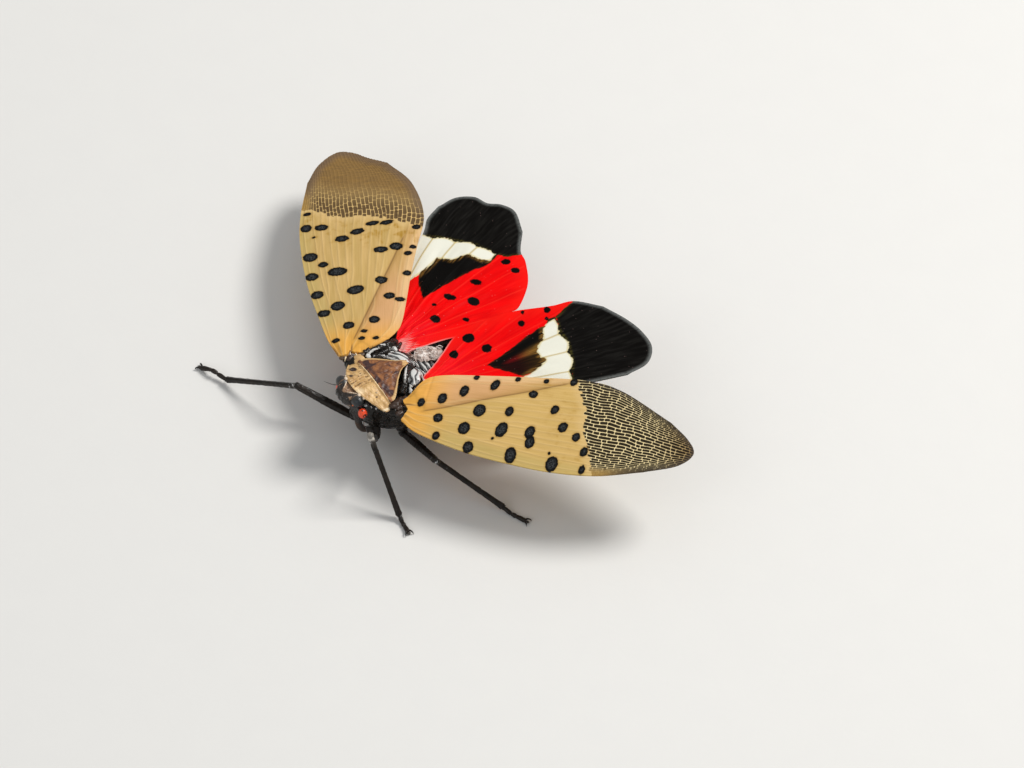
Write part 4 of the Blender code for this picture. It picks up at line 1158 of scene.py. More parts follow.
def antennaShapes(way):
    # warty bulb, stalk, and the bristle with its small foot
    values = antennaValues
    fwd, left, up = np.array(values["bulb"]) - np.array(values["droop"]) * (way < 0)
    x, z, y = ballGrid(48, 80)
    ball = np.stack([x, way * y, z], -1)
    warts = np.zeros(ball.shape[:2])
    for k in range(values["warts"]):
        height = 1 - 2 * (k + 0.5) / values["warts"]
        spin = k * values["wartTurn"]
        ring = math.sqrt(1 - height * height)
        gap = np.linalg.norm(ball - (ring * math.cos(spin), height, ring * math.sin(spin)), axis=2)
        warts = np.maximum(warts, np.exp(-(gap / values["wartSize"]) ** 2))
    swollen = ball * (1 + values["wartHeight"] * warts)[..., None] * np.array(values["bulbRadii"])
    bulb = closedLoft(np.array((fwd, way * left, up)) + swollen,
                      {"dark": between(0.86, 0.95, way * ball[..., 1]), "pale": warts})
    stalk, bristle = ([(fwd + f, way * s, up + u, radius) for f, s, u, radius in values[key]]
                      for key in ("stalk", "bristle"))
    foot = pebble((fwd + 0.04, way * (left + 0.34), up - 0.02), (0.06, 0.06, 0.06), fields={"dark": 0.3})
    socketPlace = (fwd + 0.04, way * (left + 0.06), up + 0.36)
    socket = pebble(socketPlace, (0.08, 0.08, 0.08), 0.02, 0.2, 4, fields={"dark": 1.0})
    return [bulb, sweptRod(stalk, steps=14, fields={"dark": 1.0}), foot, socket,
            sweptRod(bristle, 8, 24, fields={"dark": 1.0})]


eyeSkin = eyeFinish()
antennaSkin = antennaFinish()
for sideName, way in (("left", 1), ("right", -1)):
    fwd, left, up = headValues["eye"]
    eye = pebble((fwd, way * left, up), headValues["eyeRadii"], rows=60, columns=90)
    eye["fields"]["pale"] = between(0.35, 0.05, np.abs(eye["points"][:, 1]) - left)
    makePiece("eye_" + sideName + "_globe", eye, eyeSkin, ["eye_" + sideName])
    antenna = antennaShapes(way)
    makePiece("antenna_" + sideName + "_parts", antenna, antennaSkin, ["antenna_" + sideName])
    bead = pebble((3.72, way * 0.97, 5.98), (0.08, 0.06, 0.08), rows=14, columns=20, fields={"pale": 1.0})
    makePiece("ocellus_" + sideName, bead, antennaSkin)

beakKnots = [(2.72, 0, 2.9, 0.26), (2.66, 0, 2.4, 0.25), (2.5, 0, 1.9, 0.24), (2.1, 0, 1.42, 0.23),
             (1.2, 0, 1.2, 0.2), (0.2, 0, 1.15, 0.19), (-1.0, 0, 1.12, 0.17), (-2.0, 0, 1.1, 0.13),
             (-2.7, 0, 1.1, 0.06)]
beakFields = {"dark": lambda s: 0.9 * between(0.75, 0.95, s), "pale": lambda s: 0.7 * hump(s, 0.42, 0.02)}
beak = sweptRod(beakKnots, 28, 110, flutes=2, fluteDepth=-0.12, fields=beakFields)
makePiece("rostrum_beak", beak, shells["beakShell"], ["rostrum"])
print("head, eyes, antennae and beak built")


# Collar and shield
def underSide(top, thickness):
    # points below the upper side of a plate
    down = surfaceWays(top)
    down *= -np.sign(down[..., 2:3])
    return top + down * thickness[..., None]


collarValues = {
    "rows": 70,
    "columns": 240,
    "front": 3.27,
    "back": 1.43,
    "half": 2.86,
    "frontBow": 0.17,
    "backBow": 0.035,
    "top": 6.98,
    "drop": 0.13,
    "pit": (2.03, 1.66, 0.16),  # fwd, left, size
}


def collarPlate():
    values = collarValues
    t = np.linspace(0, 1, values["rows"])[:, None]
    left = np.linspace(-values["half"], values["half"], values["columns"])[None] + 0 * t
    front = values["front"] - values["frontBow"] * left ** 2
    back = values["back"] - values["backBow"] * left ** 2
    fwd = back + (front - back) * t
    up = values["top"] - values["drop"] * left ** 2
    onKeel = between(1.0, 0.85, t) * between(0.05, 0.2, t)
    bent = left + 0.12 * np.sin(4 * t) + 0.1 * t
    folds = hump(np.abs(bent), 0.2, 0.06) + 0.7 * hump(np.abs(bent), 0.46, 0.06) * between(0.2, 0.4, t)
    up = up + 0.11 * hump(bent, 0, 0.07) * onKeel - 0.1 * folds * onKeel
    up = up + 0.05 * hump(t, 0.93, 0.05) + 0.09 * hump(t, 0.04, 0.045) - 0.05 * hump(t, 0.14, 0.05)
    up = up + 0.10 * hump(np.abs(left), 0.75, 0.35) * np.sin(math.pi * t)
    up = up + 0.08 * hump(np.abs(left), 2.1, 0.4) * np.sin(math.pi * t)
    # painted shade in the grooves beside the middle keel
    dark = 0.45 * folds * onKeel
    pitFwd, pitLeft, size = values["pit"]
    pit = np.exp(-((fwd - pitFwd) ** 2 + (np.abs(left) - pitLeft) ** 2) / size ** 2)
    up = up - 0.5 * size * pit
    dark = dark + 0.55 * pit
    places = np.stack([fwd, left, up], -1)
    plane = places * (1, 1, 0)
    up = up + 0.018 * ripple(places * (1.6, 1, 0), 0.55, 21) + 0.008 * ripple(places, 0.16, 22)
    top = np.stack([fwd, left, up], -1)
    rim = np.minimum(np.minimum(t, 1 - t) * 1.6, values["half"] - np.abs(left))
    # pale back and front rims and middle keel, partly painted highlights along the raised edges
    pale = 0.75 * hump(t, 0.0, 0.05) + 0.4 * hump(left, 0, 0.05) + 0.35 * hump(t, 1.0, 0.05)
    # painted highlights: a pale patch on the near half of the collar and a pale line near its near end
    pale = np.maximum(pale, 0.55 * hump(left, 0.75, 0.65) * between(0.35, 0.9, t))
    pale = np.maximum(pale, 0.8 * hump(left, 2.72, 0.1))
    blotches = between(0.1, 1.0, ripple(plane, 0.8, 23))
    # painted shade: the far half of the collar is darker
    dark = dark + (0.2 + 0.35 * between(-0.3, -1.2, left)) * blotches * (1 - pale)
    dark = dark + 0.16 * between(-0.5, -1.1, left)
    dark = dark + 0.3 * between(0.5, 1.2, ripple(plane, 0.3, 24)) * (1 - pale)
    dark = dark + 0.3 * hump(t, 0.16, 0.05) * between(0, 1, ripple(plane, 0.5, 25))
    under = underSide(top, 0.06 + 0.2 * between(0, 0.3, rim))
    return closedSheet(top, under, {"dark": dark, "pale": pale})


shieldValues = {
    "rows": 130,
    "columns": 150,
    "front": 1.36,
    "tip": -1.72,
    "top": 6.98,
    # share of its length and half width there
    "outline": [(0, 2.5), (0.14, 2.42), (0.28, 2.02), (0.42, 1.5), (0.56, 1.02), (0.74, 0.5), (0.9, 0.28),
                (1, 0.12)],
}


def shieldPlate():
    values = shieldValues
    t = np.linspace(0, 1, values["rows"])[:, None]
    s = np.linspace(-1, 1, values["columns"])[None]
    half = smoothThrough(values["outline"], values["rows"], measured=1)[:, 1:]
    left = half * s
    fwd = values["front"] - 0.02 * left ** 2 + (values["tip"] - values["front"]) * t
    rim = between(0.8, 0.96, np.abs(s)) + 0 * t
    up = values["top"] - 0.11 * left ** 2 + 0.1 * np.sin(math.pi * t) + 0.07 * rim
    keels = hump(s, 0, 0.035) * between(0.1, 0.3, t)
    keels = keels + 0.8 * hump(np.abs(left), 0.75 - 0.3 * t, 0.05) * between(0.75, 0.6, t)
    up = up + 0.045 * keels
    hollow = hump(np.abs(left), 1.35, 0.3) * hump(t, 0.22, 0.14)
    hollow = hollow + 0.7 * hump(np.abs(left), 0.4, 0.2) * hump(t, 0.6, 0.15)
    up = up - 0.05 * hollow
    places = np.stack([fwd, left, up], -1)
    up = up + 0.02 * ripple(places * (1, 1.3, 0), 0.5, 31) * (1 - rim) + 0.005 * ripple(places, 0.2, 32)
    up = up - 0.05 * between(0.9, 1.0, t)
    top = np.stack([fwd, left, up], -1)
    pale = between(0.78, 0.93, t + 0.03 * ripple(places, 0.4, 33))
    pale = np.maximum(pale, 0.95 * rim * between(0.03, 0.1, t))
    pale = np.maximum(pale, 0.22 * keels)
    flush = between(0.2, 1.0, ripple(places * (0.7, 1.6, 0), 0.7, 35))
    pale = np.maximum(pale, 0.4 * between(0.3, 0.8, t) * flush)
    # painted shade: darker just behind the collar's edge and in the hollows
    dark = 0.6 * hump(t, 0.08, 0.09) * (1 - rim) + 0.4 * hollow
    dark = dark + 0.5 * between(0.2, 1.1, ripple(places, 0.7, 34))
    edge = np.minimum((1 - np.abs(s)) * half, np.minimum(t, 1 - t) * 3)
    under = underSide(top, 0.06 + 0.22 * between(0, 0.3, edge))
    return closedSheet(top, under, {"dark": dark, "pale": pale})


makePiece("collar_plate", collarPlate(), shells["collarShell"], ["pronotum"], sharp=70)
makePiece("shield_plate", shieldPlate(), shells["shieldShell"], ["mesonotum"], sharp=70)
print("collar and shield built")


# Thorax, with its side plates, wing hinges and waxy rear plates, whose pale crests and ridges are partly
# painted highlights
thoraxValues = {
    # fwd, half width, low, high, bow
    "sections": [(2.8, 1.1, 3.3, 5.9, 0.09), (2.62, 1.4, 3.1, 6.05, 0.09), (2.45, 1.75, 2.8, 6.1, 0.09),
                 (1.6, 2.35, 2.35, 6.12, 0.09), (0.6, 2.8, 2.0, 6.2, 0.05), (-0.6, 2.9, 1.9, 6.15, 0.0),
                 (-1.5, 2.85, 1.9, 6.05, 0.0), (-2.2, 2.75, 1.9, 5.6, -0.05), (-2.6, 2.65, 1.95, 5.0, -0.05),
                 (-3.3, 2.5, 2.0, 4.4, 0.0), (-3.6, 2.35, 2.1, 4.2, 0.0)],
    "rows": 130,
    "columns": 150,
    "squareness": 2.6,
    "grooves": (1.35, 0.15, -1.1, -2.1),  # fwd of the seams between the side plates
}


def thoraxSkin():
    values = thoraxValues
    line = smoothThrough(values["sections"], values["rows"], measured=1)
    fwd, half, low, high, bow = (column[:, None] for column in line.T)
    wide, tall = squaredRound(values["columns"], values["squareness"])
    left = half * wide
    up = (low + high) / 2 + (high - low) / 2 * tall
    rings = np.stack([fwd - bow * left ** 2, left, up], -1)
    normal = surfaceWays(rings, closed=True)
    fwd, left, up = (rings[..., k] for k in range(3))
    flank = between(5.9, 5.3, up) * between(2.2, 2.8, up)
    seams = sum(hump(fwd + 0.25 * (up - 4), place, 0.09) for place in values["grooves"])
    seams = seams + 0.8 * hump(up, 4.6, 0.09) + 0.8 * hump(up, 3.3, 0.09)
    depth = -0.11 * seams * flank + 0.06 * ripple(rings, 1.1, 41) * flank + 0.02 * ripple(rings, 0.3, 42)
    rings = rings + normal * depth[..., None]
    glow = 0.12 + 0.22 * between(0.3, 1.2, ripple(rings, 0.5, 43))
    highlightPatches = between(0, 0.8, ripple(rings, 0.4, 44))
    # painted glints: a band of pale bloom high on the flank stands for light glinting on the glossy black
    glow = glow + 0.55 * hump(up, 5.5, 0.25) * between(1.3, 2.0, fwd) * highlightPatches
    pale = 0.3 * hump(up, 4.6, 0.12) * hump(fwd, -0.6, 0.5) * between(2.4, 2.7, np.abs(left))
    return closedLoft(rings, {"dark": 0.2 * seams, "pale": pale, "wax": glow * flank + 0.25 * (1 - flank)})


hingeValues = {
    # along, across, size and paleness of the small plates at a wing root
    "plates": ((-0.3, -0.55, 0.3, 0.2), (-0.5, -0.05, 0.32, 0.0), (-0.5, 0.6, 0.38, 0.5),
               (-0.2, 0.85, 0.24, 0.2)),
    # thin ridges: along and across places of their ends
    "folds": (((-0.75, -0.45), (-0.35, -0.3)), ((-0.5, 0.0), (0.4, 0.02)), ((-0.6, 0.62), (0.0, 0.35))),
    # each ridge: share of its length, height, radius
    "foldKnots": ((0, -0.02, 0.03), (0.4, 0.13, 0.055), (0.75, 0.15, 0.05), (1, 0.1, 0.02)),
}


def hingeShapes(name, plan):
    # small rounded plates and folds between the side of the thorax and the root of a wing
    root, u, v, n = wingFrame(plan)
    low = 0.0 if name.startswith("forewing") else 0.12
    # painted light: the right forewing's hinge is lit and pale, and the other hinges are painted in shade
    paintedShade, paintedLight = (0.8, 1.0) if name == "forewing_right" else (1.0, 0.12)
    shapes = []
    for k, (a, c, size, paleness) in enumerate(hingeValues["plates"]):
        centre = root + u * a + v * c + n * (0.05 * (k % 2) - low)
        radii = (size * 1.15, size * 0.9, size * 0.55)
        fields = {"dark": paintedShade * (1 - paintedLight * paleness), "pale": 0.5 * paintedLight * paleness, "wax": 0.12}
        shapes.append(pebble(centre, radii, 0.02, 0.35, plan["seed"] + k, fields=fields))
    for first, last in hingeValues["folds"]:
        knots = []
        for share, up, radius in hingeValues["foldKnots"]:
            a, c = onLine(np.array(first), np.array(last), share)
            knots.append((*(root + u * a + v * c + n * (up - low)), radius))
        fields = {"pale": 0.7 * paintedLight, "dark": 1 - paintedLight}
        shapes.append(sweptRod(knots, 12, 24, bumps=0.01, seed=plan["seed"], fields=fields))
    return shapes


def underHinge(plan):
    # the dark stump under those plates
    root, u, v, _ = wingFrame(plan)
    flat = np.array((u[0], u[1], 0)) / math.hypot(u[0], u[1])
    centre = root - flat * 0.75 - np.array((0, 0, 0.4)) + v * 0.25
    return pebble(centre, (0.62, 0.62, 0.6), 0.03, 0.6, plan["seed"], 36, 50, {"dark": 0.2, "wax": 0.12})


rearPlates = {
    "ovalCentre": (-1.66, 1.05, 6.24),
    "ovalLong": (0.5, 0.84, 0.16),  # way that each oval points
    "ovalRadii": (1.0, 0.56, 0.27),
    "ovalFolds": 6.5,
    "oval": {"rows": 60, "columns": 110},
    # pale ridges, their paleness partly a painted highlight: knots of fwd, left, up and radius
    "ridges": [[(-1.65, 0.12, 6.68, 0.04), (-1.3, 0.5, 6.8, 0.07), (-1.0, 0.9, 6.82, 0.08),
                (-0.7, 1.35, 6.75, 0.07), (-0.5, 1.6, 6.6, 0.03)],
               [(-0.95, 1.6, 6.22, 0.03), (-0.8, 2.0, 6.22, 0.08), (-0.62, 2.4, 6.15, 0.04)],
               [(0.25, 2.62, 6.2, 0.06), (-0.15, 2.95, 6.15, 0.08), (-0.6, 3.1, 5.95, 0.06),
                (-0.9, 3.05, 5.8, 0.03)],
               [(-2.3, 0.05, 5.98, 0.1), (-2.5, 0.5, 5.86, 0.09), (-2.45, 1.1, 5.66, 0.06),
                (-2.3, 1.6, 5.5, 0.05)],
               [(-2.75, 0.05, 5.55, 0.09), (-2.95, 0.7, 5.3, 0.1), (-2.9, 1.4, 5.1, 0.06)]],
    # rounded pale lumps: fwd, left, up and radius
    "lumps": [(-1.04, 1.72, 6.26, 0.14), (-0.84, 2.02, 6.16, 0.13), (-2.2, 2.7, 5.6, 0.2),
              (-1.75, 2.35, 5.74, 0.16)],
    # black shoulders below the leading half of each forewing's root, and below the right hindwing a black rod
    # that stands for the shade between that wing and the abdomen
    "shoulders": [[(1.3, 2.2, 5.5, 0.5), (1.15, 3.15, 5.6, 0.45), (0.85, 3.8, 5.68, 0.28),
                   (0.45, 4.2, 5.72, 0.15)],
                  [(1.6, -2.2, 5.5, 0.5), (1.6, -3.25, 5.68, 0.4), (1.75, -3.85, 5.85, 0.2)],
                  [(-3.8, -2.85, 4.35, 0.3), (-5.1, -2.7, 4.3, 0.45), (-6.3, -2.5, 4.3, 0.5),
                   (-7.8, -2.28, 4.3, 0.45), (-9.0, -2.1, 4.25, 0.15)]],
    "cords": [[(-2.1, 0.0, 6.1, 0.3), (-1.35, 0.5, 6.48, 0.27), (-1.02, 0.9, 6.52, 0.27),
               (-0.68, 1.35, 6.45, 0.27), (0.0, 2.1, 6.2, 0.25)],
              [(0.6, 2.65, 5.6, 0.35), (-0.6, 2.85, 5.5, 0.36), (-1.8, 3.0, 5.36, 0.36),
               (-2.7, 3.2, 5.1, 0.28), (-3.2, 3.5, 4.98, 0.12)]],
    # the wider bridge between the two right wings, partly black thorax and partly a dark sheet standing for
    # the shade there, and the pale folds on it
    "bridge": [(0.3, -3.3, 5.9, 0.35), (-1.0, -3.35, 5.7, 0.4), (-2.2, -3.5, 5.3, 0.38),
               (-3.0, -3.8, 5.05, 0.22)],
    "ribs": ((-3.2, -1.2, 5.0), (-3.3, 0.2, 4.82), (-0.23, -0.05, -0.09), 6),  # ends, step to the next, count
    "bridgeFolds": [[(0.1, -2.95, 6.16, 0.04), (-0.5, -3.05, 6.14, 0.08), (-1.1, -3.1, 5.98, 0.05)],
                    [(-0.9, -3.45, 6.06, 0.04), (-1.5, -3.3, 5.92, 0.08), (-2.1, -3.35, 5.64, 0.04)]],
}


def ovalShape(way):
    # a domed plate, creased along its length
    values = rearPlates
    centre, long = (np.array(values[key]) * (1, way, 1) for key in ("ovalCentre", "ovalLong"))
    long = long / np.linalg.norm(long)
    short = np.cross((0, 0, 1.0), long)
    short /= np.linalg.norm(short)
    over = np.cross(long, short)
    x, y, z = ballGrid(values["oval"]["rows"], values["oval"]["columns"])
    local = np.stack([x, y, z], -1)
    swing = 1.5 * ripple(local * (0.8, 1, 0), 0.9, 61)
    creases = np.cos(values["ovalFolds"] * y * (1.15 - 0.35 * x * x) + swing)
    radii = np.array(values["ovalRadii"])
    places = local * radii * (1 + 0.10 * creases * between(0, 0.5, z))[..., None]
    points = centre + places[..., :1] * long + places[..., 1:2] * short + places[..., 2:] * over
    highlightPatches = between(-0.6, 0.5, ripple(local * (1, 1, 0), 0.5, 62))
    # the pale crests and dark troughs of the creases are painted highlights and painted shade on the glossy
    # plate
    return closedLoft(points, {"pale": between(-0.7, 0.5, creases) * (0.75 + 0.25 * highlightPatches),
                               "dark": 0.7 * between(-0.72, -1.0, creases), "wax": 0.25})


# the pale along each fold ridge is a painted highlight, brightest at its middle
foldHighlightFields = {"pale": lambda s: 0.3 + 0.6 * hump(s, 0.5, 0.35) - 0.3 * np.cos(19 * s) ** 8, "wax": 0.1}


def paleFold(knots, seed):
    return sweptRod(knots, 28, 40, flutes=4, fluteDepth=0.16, bumps=0.015, seed=seed, fields=foldHighlightFields)


def rearShapes():
    shapes = [paleFold(knots, 68) for knots in rearPlates["bridgeFolds"]]
    shapes.append(pebble((0.24, -2.6, 6.26), (0.2, 0.24, 0.14), 0.02, 0.3, 69, 24, 36,
                         {"pale": 0.8, "wax": 0.2}))
    start, end, step, count = rearPlates["ribs"]
    for k in range(count):
        knots = [onLine(np.array(start), np.array(end), share) + np.array(step) * k for share in (0, 0.5, 1)]
        knots[1] = knots[1] + (0, 0, 0.08)
        knots = knotsFrom(knots, (0.06, 0.12, 0.07))
        tone = 0.75 if k % 2 else 0.2
        fields = {"pale": lambda s: tone * hump(s, 0.5, 0.4), "dark": 0.8 - tone}
        shapes.append(sweptRod(knots, 14, 30, bumps=0.02, seed=75 + k, fields=fields))
    for way in (1, -1):
        shapes.append(ovalShape(way))
        for k, knots in enumerate(rearPlates["ridges"]):
            shapes.append(paleFold(mirrored(knots, way), 60 + k))
        for k, (fwd, left, up, radius) in enumerate(rearPlates["lumps"]):
            radii = (radius, radius * 1.2, radius * 0.8)
            shapes.append(pebble((fwd, way * left, up), radii, 0.03, 0.3, 70 + k, 24, 36,
                                 {"pale": 0.75, "wax": 0.3}))
    return shapes


waxValues = {
    "seed": 17,
    "centre": (-4.38, -1.46, 5.0),
    "long": (-1.08, 0.45),  # fwd and left from its middle to its end
    "wide": (0.38, 0.64),
    "rows": 90,
    "columns": 60,
    "threads": 26,
    "threadLength": (0.3, 0.7),
    "threadRadius": (0.018, 0.03),
}


def waxShapes():
    # a crumpled crust of wax with a few loose threads, at the root of the right hindwing
    values = waxValues
    draw = np.random.default_rng(values["seed"])
    centre = np.array(values["centre"])
    long, wide = (np.array((*values[key], 0)) for key in ("long", "wide"))
    u = np.linspace(-1, 1, values["rows"])[:, None]
    v = np.linspace(-1, 1, values["columns"])[None]
    # a square grid drawn into an uneven oval
    x = u * np.sqrt(1 - v * v / 2)
    y = v * np.sqrt(1 - u * u / 2)
    plane = np.stack([x * 1.1, y * 0.75, 0 * x], -1)
    ragged = 1 + 0.12 * ripple(plane, 0.45, 121)
    inward = between(1.0, 0.6, np.hypot(x, y))
    ridges = 1 - np.abs(ripple(plane, 0.75, 122)) - 0.5 * np.abs(ripple(plane, 0.3, 123))
    relief = inward * (0.12 + 0.09 * np.clip(ridges, -0.8, 1)) + 0.01 * ripple(plane, 0.1, 124)
    flat = centre + (x * ragged)[..., None] * long + (y * ragged)[..., None] * wide
    top = flat + relief[..., None] * (0, 0, 1)
    pale = between(0.1, 0.8, ridges) * (0.35 + 0.65 * between(0.9, 0.4, np.hypot(x, y)))
    dark = 0.5 * between(-0.3, -0.9, ridges) + 0.8 * between(1.1, 1.7, ripple(plane, 0.13, 125))
    shapes = [closedSheet(top, flat - (0, 0, 0.05), {"pale": pale, "dark": dark, "wax": 0.3 * inward})]
    for k in range(values["threads"]):
        a, c = draw.uniform(-0.9, 0.9, 2)
        start = centre + long * a + wide * c + (0, 0, 0.08)
        turn = draw.normal(2.6, 0.6)
        reach = draw.uniform(*values["threadLength"])
        onward = np.array((math.cos(turn), math.sin(turn), 0)) * reach
        sideways = np.array((-onward[1], onward[0], 0)) * draw.uniform(-0.3, 0.3)
        middle = start + onward * 0.5 + sideways + (0, 0, draw.uniform(0.05, 0.16))
        radius = draw.uniform(*values["threadRadius"])
        knots = knotsFrom([start, middle, start + onward], (radius, radius * 0.9, radius * 0.35))
        shapes.append(sweptRod(knots, 8, 14, bumps=0.006, seed=k, fields={"pale": 0.6}))
    return shapes


tegulaValues = {
    "place": (0.98, 2.66, 6.12),
    "radii": (0.48, 0.44, 0.22),
    # the left tegula is darker than the right, a painted shade
    "dark": {"left": 0.8, "right": 0.25},
}

stumps = [underHinge(plan) for plan in wingPlans.values()]
stumps += [sweptRod(knots, 28, 60, bumps=0.04, seed=46, fields={"wax": 0.15})
           for knots in [rearPlates["bridge"]] + rearPlates["shoulders"]]
stumps += [sweptRod(mirrored(knots, way), 28, 60, bumps=0.04, seed=45, fields={"wax": 0.15})
           for way in (1, -1) for knots in rearPlates["cords"]]
hinges = [one for name, plan in wingPlans.items() for one in hingeShapes(name, plan)]
makePiece("thorax_shell", [thoraxSkin()] + stumps, shells["blackShell"], ["thorax"])
makePiece("wing_hinges", hinges, shells["collarShell"])
makePiece("rear_plates", rearShapes(), shells["waxAndHighlightShell"])
makePiece("wax_clots", waxShapes(), shells["waxWool"])
for sideName, way in (("left", 1), ("right", -1)):
    place = np.array(tegulaValues["place"]) * (1, way, 1)
    fields = {"dark": tegulaValues["dark"][sideName], "pale": 0.2, "wax": 0.1}
    scale = pebble(place, tegulaValues["radii"], 0.03, 0.4, 81, 36, 50, fields)
    makePiece("tegula_" + sideName, scale, shells["collarShell"])
print("thorax built")


# Abdomen
abdomenValues = {
    "front": -3.45,
    "back": -12.6,
    "rings": 8,
    "rowsPerRing": 22,
    "columns": 150,
    "squareness": 2.3,
    # share of its length, half width, heights of belly and back
    "stations": [(0.0, 2.35, 1.75, 4.3), (0.15, 2.85, 1.3, 4.32), (0.4, 3.05, 0.95, 4.32),
                 (0.65, 2.75, 1.0, 4.2), (0.85, 1.8, 1.4, 3.9), (0.96, 0.9, 1.9, 3.5), (1.0, 0.45, 2.3, 3.2)],
}


def abdomenSkin():
    values = abdomenValues
    steps = values["rings"] * values["rowsPerRing"]
    share = np.linspace(0, 1, steps + 1)
    stations = np.array(values["stations"])
    half, low, high = (np.interp(share, stations[:, 0], stations[:, k])[:, None] for k in (1, 2, 3))
    ring = np.minimum(np.floor(share * values["rings"]), values["rings"] - 1)
    part = (share * values["rings"] - ring)[:, None]
    swell = 0.965 + 0.035 * np.sqrt(np.clip(part / 0.9, 0, 1)) - 0.035 * between(0.93, 1.0, part)
    wide, tall = squaredRound(values["columns"], values["squareness"])
    pinch = 1 - 0.05 * hump(tall, 0.25, 0.1) - 0.04 * hump(tall, -0.25, 0.1)
    left = half * swell * wide * pinch
    up = (low + high) / 2 + (high - low) / 2 * swell * tall
    fwd = values["front"] + (values["back"] - values["front"]) * share[:, None] + 0 * wide
    rings = np.stack([fwd, left, up], -1)
    rough = 0.018 * ripple(rings, 0.7, 91) + 0.008 * ripple(rings, 0.22, 92)
    rings = rings + surfaceWays(rings, closed=True) * rough[..., None]
    back = between(0.15, 0.45, tall)
    belly = between(-0.5, -0.8, tall)
    band = between(0.02, 0.12, part) * between(0.78, 0.66, part)
    spiracle = hump(part, 0.4, 0.07) * hump(tall, -0.02, 0.05)
    dark = np.maximum(back * band, 0.75 * belly * band * hump(wide, 0, 0.55))
    dark = np.maximum(dark, 0.9 * spiracle)
    wax = 0.12 + 0.35 * between(0.28, 0.1, share)[:, None] * between(-0.2, 0.4, tall)
    return closedLoft(rings, {"dark": dark, "pale": 0.5 * hump(part, 0.93, 0.06), "wax": wax})


tailKnots = [(-12.2, 0, 2.85, 0.42), (-12.5, 0, 2.85, 0.36), (-12.75, 0, 2.85, 0.26)]
tail = [sweptRod(tailKnots, steps=18, fields={"dark": lambda s: 0.8 * between(0.3, 0.6, s)})]
tail += [pebble((-12.2, way * 0.32, 2.45), (0.4, 0.22, 0.3), 0.03, 0.3, 95, 24, 34, {"dark": 0.4})
         for way in (1, -1)]
makePiece("abdomen_shell", [abdomenSkin()] + tail, shells["abdomenShell"], ["abdomen"])
print("abdomen built")


# Legs: coxa, trochanter, knee, ankle and toe of each
legPlans = {
    "leg_fore_left": {
        "joints": ((1.9, 0.75, 1.75), (2.15, 1.45, 1.75), (4.2, 4.4, 6.0), (3.96, 8.28, 0.5)),
        "toe": (4.13, 9.9), "spines": 0, "paleAndHighlight": 0.6},
    "leg_fore_right": {
        "joints": ((1.9, -0.75, 1.55), (2.25, -1.5, 1.6), (5.25, -4.93, 3.5), (8.23, -10.7, 0.5)),
        "toe": (9.2, -13.1), "spines": 0, "paleAndHighlight": 0.25, "arch": 0.42},
    "leg_mid_left": {
        "joints": ((-0.3, 0.75, 1.25), (-0.3, 1.7, 1.25), (-0.06, 6.9, 3.2), (-3.29, 11.7, 0.5)),
        "toe": (-4.2, 13.6), "spines": 0, "paleAndHighlight": 0.2},
    "leg_mid_right": {
        "joints": ((-0.3, -0.75, 1.25), (-0.3, -1.7, 1.25), (-0.8, -6.2, 3.2), (-2.6, -11.6, 0.5)),
        "toe": (-3.2, -13.7), "spines": 0, "paleAndHighlight": 0.2},
    "leg_hind_left": {
        "joints": ((-2.3, 0.75, 1.3), (-2.4, 1.8, 1.35), (-4.5, 5.3, 3.6), (-10.8, 9.6, 0.5)),
        "toe": (-12.9, 10.6), "spines": 5, "paleAndHighlight": 0.2},
    "leg_hind_right": {
        "joints": ((-2.3, -0.75, 1.3), (-2.4, -1.8, 1.35), (-4.5, -5.3, 3.4), (-10.8, -9.6, 0.5)),
        "toe": (-12.9, -10.6), "spines": 5, "paleAndHighlight": 0.2},
}
legValues = {
    "femur": 0.3,
    "tibia": 0.235,
    "tarsus": 0.185,
    "footAxis": 0.18,
    "claw": (0.53, 0.26),
    "spine": (0.62, 0.35),
    "spinePlaces": (0.25, 0.14),
    # share of the length of each, and share of its radius there
    "femurSteps": ((0, 0.8), (0.08, 1.0), (0.3, 1.12), (0.6, 1.05), (0.9, 0.92), (1, 0.9)),
    "tibiaSteps": ((0, 0.8), (0.05, 1.0), (0.15, 0.92), (0.55, 0.88), (0.92, 1.0), (0.985, 1.12), (1, 0.9)),
    # three joints of the foot, each swelling to its end and pinched between
    "tarsusSteps": ((0, 0.75), (0.1, 0.9), (0.24, 1.0), (0.33, 0.85), (0.36, 0.62), (0.39, 0.85), (0.5, 1.0),
                    (0.565, 0.85), (0.59, 0.62), (0.62, 0.85), (0.78, 1.0), (0.93, 1.05), (1.0, 0.85)),
    "spineSteps": ((0, 0.15), (0.35, 0.1), (0.7, 0.055), (1, 0.01)),
    "lowest": 0.004,  # feet and claws end this far above the floor
}


